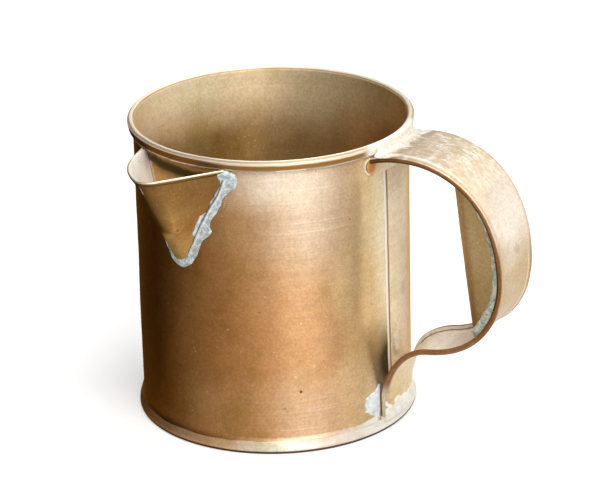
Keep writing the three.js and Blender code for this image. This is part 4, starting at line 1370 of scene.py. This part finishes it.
def strap_pale(place):
    """Where the strap is whitened: at the rim, at its lower end and in a streak along its near side."""
    at = strap_place(place)
    top = fall(at.after - 2 * ripple(222, place, 7), 13, 9) * 0.8
    low = rise(at.to_end + 2 * ripple(223, place, 4), -7, 3) * 0.9
    far = rise(at.to_end, -26, 8) * fall(at.far, 3.2, 1.5) * 0.9
    streak = 0.75 * fall(at.after, 50, 20) * bell(at.near, 2.4, 0.9)
    flecked = 0.42 * fall(at.after, 56, 24) * smooth(0.25 + 0.5 * ripple(225, place * (1, 0.45, 1), 3.2))
    return np.maximum.reduce([top, low, far, streak, flecked]) * at.outer


def strap_tarnish(place):
    at = strap_place(place)
    # shadow: painted shade on the inner side of the rolled edges; heel: darker towards the far edge of the heel; the
    # last term darkens it near the rim.
    shadow = 0.85 * fall(at.out, 0.2, 0.5) * fall(at.edge, 1.2, 0.5) * fall(at.after, 108, 10)
    heel = 0.3 * bell(at.after, 118, 18) * rise(at.across, 4, 8)
    return np.maximum.reduce([shadow, heel, 0.20 * bell(at.after, 22, 12) * rise(at.edge, 4, 4)])


def strap_mottle(place):
    at = strap_place(place)
    return fall(at.after, 58, 30) * rise(at.near, 2.5, 2) * at.outer * 0.85


def strap_matt(place):
    at = strap_place(place)
    shoulder = 0.5 * fall(at.after, 84, 20) * rise(at.after, 8, 6)
    return np.maximum.reduce([0.9 * ~at.outer * rise(at.after, 108, 14), shoulder, 0.35 * rise(at.to_end, -34, 10)])


def grip_tint(place):
    return laid((196, 166, 116), ((130, 96, 46), fall(place[:, 2] + 3 * ripple(226, place, 20), 100, 60)))


def grip_tarnish(place):
    # Darker towards the bottom.
    return 0.4 * fall(place[:, 2], 80, 30) * smooth(0.6 + 0.5 * ripple(227, place, 12))


def flap_side(place):
    return np.radians(angle_of(place)) * BODY_RADIUS


def flap_tint(place):
    """Wall-like brass with a patch of orange at the near corner."""
    corner = bell(flap_side(place), -18.4, 2.2) * bell(place[:, 2], 125.0, 3.2)
    return laid(plain_wall_tint(place, 0.0), ((210, 138, 62), np.clip(corner * 1.6, 0, 1)))


def curl_light_and_shade(place, size=1.0):
    """A line round the left side of the curled near corner: laid white as a painted highlight, and, drawn smaller,
    laid dark as painted shade.
    """
    side = flap_side(place)
    reach = np.hypot((side + 19.2) / 3.2, (place[:, 2] - 125.2) / 3.6)
    return bell(reach, size, 0.13) * fall(side, -18.6, 1.0)


def inside_far_side(place):
    """1 on the inner face of the spout's far side, and 0 elsewhere on the sheet."""
    plan = spun(place, -SPOUT_ANGLE)[:, :2]
    share = np.zeros(len(place))
    for i, z in enumerate(place[:, 2]):
        (near_centre, _), (far_centre, far_radius) = nose_at(z)
        off = plan[i] - far_centre
        turn = math.degrees(math.atan2(off[1], off[0]))
        if turn < -SPOUT_NORMAL:
            gap = nose_offset(z, -SPOUT_NORMAL)[0] - plan[i] @ unit(-SPOUT_NORMAL)
        elif turn < -TIP_TURN + 4:
            gap = far_radius - math.hypot(*off)
        else:
            continue
        if plan[i][1] < near_centre[1] + 2 and gap < 3:
            share[i] = rise(gap, 0.3, 0.12)
    return share


def spout_tint(place):
    across = spun(place, -SPOUT_ANGLE)[:, 1]
    # Outside, the last tone darkens towards the nose and its far side: painted shade.
    outer = laid(
        (230, 190, 120),
        ((156, 122, 72), rise(place[:, 2], SPOUT_FOOT, 40)),
        ((196, 146, 84), smooth(ripple(231, place, 14) - 0.3) * 0.5),
        ((150, 106, 58), fall(across, 4, 12) * 0.45))
    # cream: the inner face of the far side, painted light falling into the spout.
    cream = laid((255, 255, 250), ((250, 242, 220), smooth(0.4 + 0.6 * ripple(228, place, 8))))
    return mix(outer, cream, inside_far_side(place)[:, None])


def spout_pale(place):
    # Painted light on the inner face of the far side.
    return inside_far_side(place) * (0.75 + 0.25 * ripple(232, place, 7))


def spout_tarnish(place):
    """Painted shade darkens the ridge of the nose and its far side."""
    ridge = fall(spun(place, -SPOUT_ANGLE)[:, 1], 1, 3)
    return 0.35 * ridge * fall(place[:, 2], SPOUT_TOP - 3, 4) * (1 - inside_far_side(place))


def crease_shade_and_ridge(place, aside=0.0, wide=0.3):
    """A line where the solder turns from the spout's near side to the wall, or so far aside of it: laid dark in the
    crease as painted shade, and white on the ridge beside it as a painted highlight.
    """
    z = place[:, 2]
    off = from_spout(place) - spout_edges(z, 1, 2.0) + 0.25 * ripple(230, place, 9)
    crease = bell(off, aside, wide) * rise(z, 88, 3) * fall(z, SPOUT_TOP - 4, 2)
    return crease * (off < 4) * (from_spout(place) > 0)


# Studio

SURROUNDINGS = (
    (-180, 0.80), (-168, 0.45), (-154, 0.18), (-138, 0.09), (-112, 0.07), (-96, 0.13), (-64, 0.46), (-32, 0.78),
    (0, 0.96), (22, 1.0), (40, 0.98), (56, 0.92), (70, 1.1), (86, 1.3), (100, 1.3), (120, 1.15), (150, 1.0),
    (180, 0.80))
FLOOR_GLOW = 0.35
WORLD_FILL = 0.45
LAMP_AIM = np.array([0, 0, 0.07])
CAMERA_PLACE = np.array([14.01, -1246.32, 580.87])
CAMERA_TURN = 28
CAMERA_ELEVATION = 22.298
CAMERA_ROLL = -1.276
FOCAL_PIXELS = 3047.45
PHOTO_WIDTH = 612
SENSOR = 36


def surroundings(nodes, direction):
    """What shiny metal sees of the studio: white, falling off towards the dim side of the room."""
    turned = {"Vector": direction, "Angle": math.radians(FRONT)}
    x, y, _ = nodes.parts(nodes.node("VectorRotate", 0, turned, rotation_type="Z_AXIS"))
    angle = {"Value": nodes.math("ARCTAN2", y, x), "From Min": -math.pi, "From Max": math.pi}
    ramp = nodes.node("ValToRGB", 0, {0: nodes.node("MapRange", 0, angle)})
    colours = ramp.socket.node.color_ramp
    colours.interpolation = "EASE"
    while len(colours.elements) > 1:
        colours.elements.remove(colours.elements[-1])
    for i, (side, level) in enumerate(SURROUNDINGS):
        at = (side + 180) / 360
        stop = colours.elements[0] if i == 0 else colours.elements.new(at)
        stop.position = at
        stop.color = (level, level, level, 1)
    return ramp


def ray(nodes, kind):
    return nodes.node("LightPath", f"Is {kind} Ray")


def seen_level(nodes, direction, camera_level, other_level):
    """The strength of a glow: one level for the camera and glass, the surroundings for metal, or the other."""
    plain = nodes.math("MAXIMUM", ray(nodes, "Camera"), ray(nodes, "Transmission"))
    glossy = {0: ray(nodes, "Glossy"), 2: other_level, 3: surroundings(nodes, direction)}
    return nodes.node("Mix", 0, {0: plain, 2: nodes.node("Mix", 0, glossy), 3: camera_level})


def floor_material():
    nodes = Nodes(bpy.data.materials.new("pale_floor"))
    away = nodes.node("VectorMath", "Value", {0: nodes.place}, operation="LENGTH")
    spread = {"Value": away, "From Min": 0.4, "From Max": 2.0, "To Min": FLOOR_GLOW, "To Max": 1.0}
    far = nodes.node("MapRange", "Result", spread, interpolation_type="SMOOTHSTEP")
    glow = nodes.node("Emission", 0, {"Strength": seen_level(nodes, nodes.place, far, 0.0)})
    diffuse = nodes.node("BsdfDiffuse", 0, {"Color": (0.82, 0.82, 0.82, 1)})
    both = nodes.node("AddShader", 0, {0: diffuse, 1: glow})
    nodes.surface(nodes.node("MixShader", 0, {0: ray(nodes, "Glossy"), 1: both, 2: glow}))
    return nodes.owner


def floor():
    mesh = bpy.data.meshes.new("floor")
    mesh.from_pydata([(-4, -4, 0), (4, -4, 0), (4, 4, 0), (-4, 4, 0)], [], [(0, 1, 2, 3)])
    mesh.materials.append(floor_material())
    made = link("floor", mesh)


def world():
    nodes = Nodes(bpy.data.worlds.new("studio"), "OutputWorld")
    bpy.context.scene.world = nodes.owner
    level = seen_level(nodes, nodes.node("TexCoord", "Generated"), 1.0, WORLD_FILL)
    nodes.surface(nodes.node("Background", 0, {"Strength": level}))


def lamp(name, side, elevation, distance, size, power):
    """A soft square lamp. Its side is the azimuth from the front of the photograph towards its right."""
    light = bpy.data.lights.new(name, "AREA")
    light.shape = "RECTANGLE"
    light.size = light.size_y = size
    light.energy = power
    made = link(name, light)
    level, up = unit(elevation)
    back = np.array([*(unit(side - FRONT) * level), up])
    made.location = back * distance + LAMP_AIM
    made.rotation_mode = "QUATERNION"
    made.rotation_quaternion = Vector(back).to_track_quat("Z", "Y")


def camera():
    """The photograph's view: fitted place, roll and focal length."""
    level, up = unit(CAMERA_ELEVATION)
    along, across = unit(CAMERA_ROLL)
    tilt = np.array([[along, -across, 0], [across, along, 0], [0, 0, 1]])
    axes = spun(tilt @ np.array([[1, 0, 0], [0, -up, -level], [0, level, -up]]), CAMERA_TURN)
    matrix = np.eye(4)
    matrix[:3, :3] = (axes * [[1], [-1], [-1]]).T
    matrix[:3, 3] = spun(CAMERA_PLACE, CAMERA_TURN) * MM
    data = bpy.data.cameras.new("photo_camera")
    data.sensor_fit = "HORIZONTAL"
    data.sensor_width = SENSOR
    data.lens = FOCAL_PIXELS / PHOTO_WIDTH * SENSOR
    made = link("photo_camera", data)
    made.matrix_world = Matrix(matrix.tolist())
    bpy.context.scene.camera = made


# The pieces

def dress(obj, metal, slot, *nodes, tinted=None, **masks):
    """Gives an object its material, the masks and the tint that the material reads, and its place in the frame."""
    obj.data.materials.clear()
    obj.data.materials.append(metal.owner)
    if tinted:
        tint(obj, tinted)
    # The masks the materials read: tarnish with painted shade, whitening with painted highlights, dullness, and the
    # wall's painted sheen with the strap's mottle.
    for name in ("tarnish", "pale", "matt", "burnish"):
        paint(obj, name, masks.get(name, lambda place: np.zeros(len(place))))
    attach(obj, "root")
    if nodes:
        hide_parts(*nodes)


wall_brass = brass("wall_brass", (14, 14, 1500), rough=0.52, wear=wall_wear_and_light)
foot_brass = brass("foot_brass", (14, 14, 1100), rough=0.42, wear=foot_shadow_line)
spout_brass = brass("spout_brass", (60, 60, 900), rough=0.40, wear=hem_painted_light, speckle=1.6)
strap_brass = brass("strap_brass", (240, 30, 240), (255, 244, 236), (240, 233, 212), wear=strap_wear)
grip_brass = brass("grip_brass", (300, 40, 300), rough=0.42)
flap_brass = brass("flap_brass", (60, 60, 900))
for made in (wall_brass, foot_brass, spout_brass):
    made.set({"Specular Tint": shade(232, 190, 134), "Anisotropic": 0.88, "Anisotropic Rotation": 0.25,
              "Tangent": made.node("Tangent", 0, direction_type="RADIAL", axis="Z")})
pale_solder = solder("pale_solder", (232, 240, 240), (168, 182, 180), (186, 170, 134))
splash_solder = solder("splash_solder", (242, 244, 242), (212, 222, 224), (214, 200, 166))
white_solder = solder("white_solder", (244, 240, 230), (226, 222, 208), (214, 200, 166))
cream_solder = solder("cream_solder", (230, 226, 214), (210, 202, 184), (196, 180, 146))
grip_metal = solder("grip_solder_metal", (212, 218, 202), (146, 154, 134), (150, 136, 96))
# The seam's solder is brown: partly dark oxide, partly painted shade in the step of the lap.
seam_metal = solder("seam_solder_metal", (150, 108, 52), (118, 82, 36), (96, 66, 30))
wire = steel()

dress(body_wall(), wall_brass, "brass", "body_wall", tinted=wall_tint, tarnish=wall_tarnish, pale=wall_pale,
      matt=wall_matt, burnish=burnish)
dress(bottom_pan(), foot_brass, "brass", "bottom_pan", tinted=foot_tint, pale=foot_pale)
dress(spout(), spout_brass, "brass", "spout", tinted=spout_tint, tarnish=spout_tarnish, pale=spout_pale,
      matt=lambda place: 0.9 * inside_far_side(place))
dress(handle_strap(), strap_brass, "pale_brass", "handle_strap", tinted=strap_tint, tarnish=strap_tarnish,
      pale=strap_pale, matt=strap_matt, burnish=strap_mottle)
dress(flap(), flap_brass, "pale_brass", tinted=flap_tint, tarnish=lambda place: 0.9 * curl_light_and_shade(place, 0.72),
      pale=curl_light_and_shade, matt=lambda place: np.full(len(place), 0.8))
dress(grip(), grip_brass, "brass", "handle_grip", tinted=grip_tint, tarnish=grip_tarnish)
dress(rim_wire(), wire, "steel_wire", "rim_wire")
dress(edge_wire("strap_wire_near", -1), wire, "steel_wire", "handle_wire_near")
dress(edge_wire("strap_wire_far", 1), wire, "steel_wire", "handle_wire_far")
dress(foot_solder(), foot_brass, "solder", "solder_foot", tinted=foot_solder_tint, pale=foot_pale)
dress(seam_solder(), seam_metal, "solder", "solder_seam")
dress(spout_solder(), pale_solder, "solder", "solder_spout", tarnish=crease_shade_and_ridge,
      pale=lambda place: crease_shade_and_ridge(place, 0.85, 0.4))
dress(handle_top_solder(), cream_solder, "solder", "solder_handle_top")
dress(handle_end_solder(), white_solder, "solder", "solder_handle_end")
dress(side_splash(), splash_solder, "solder", "solder_handle_side")
dress(grip_solder("grip_solder_near_side", -1), grip_metal, "solder", "solder_grip_near")
dress(grip_solder("grip_solder_far_side", 1), grip_metal, "solder", "solder_grip_far")

floor()
world()
lamp("key", 26, 42, 1.6, 1.0, 15)
lamp("side", 102, 52, 1.6, 1.2, 9)
lamp("top", 0, 82, 1.8, 1.2, 12)
camera()
bpy.context.scene.view_settings.view_transform = "Standard"
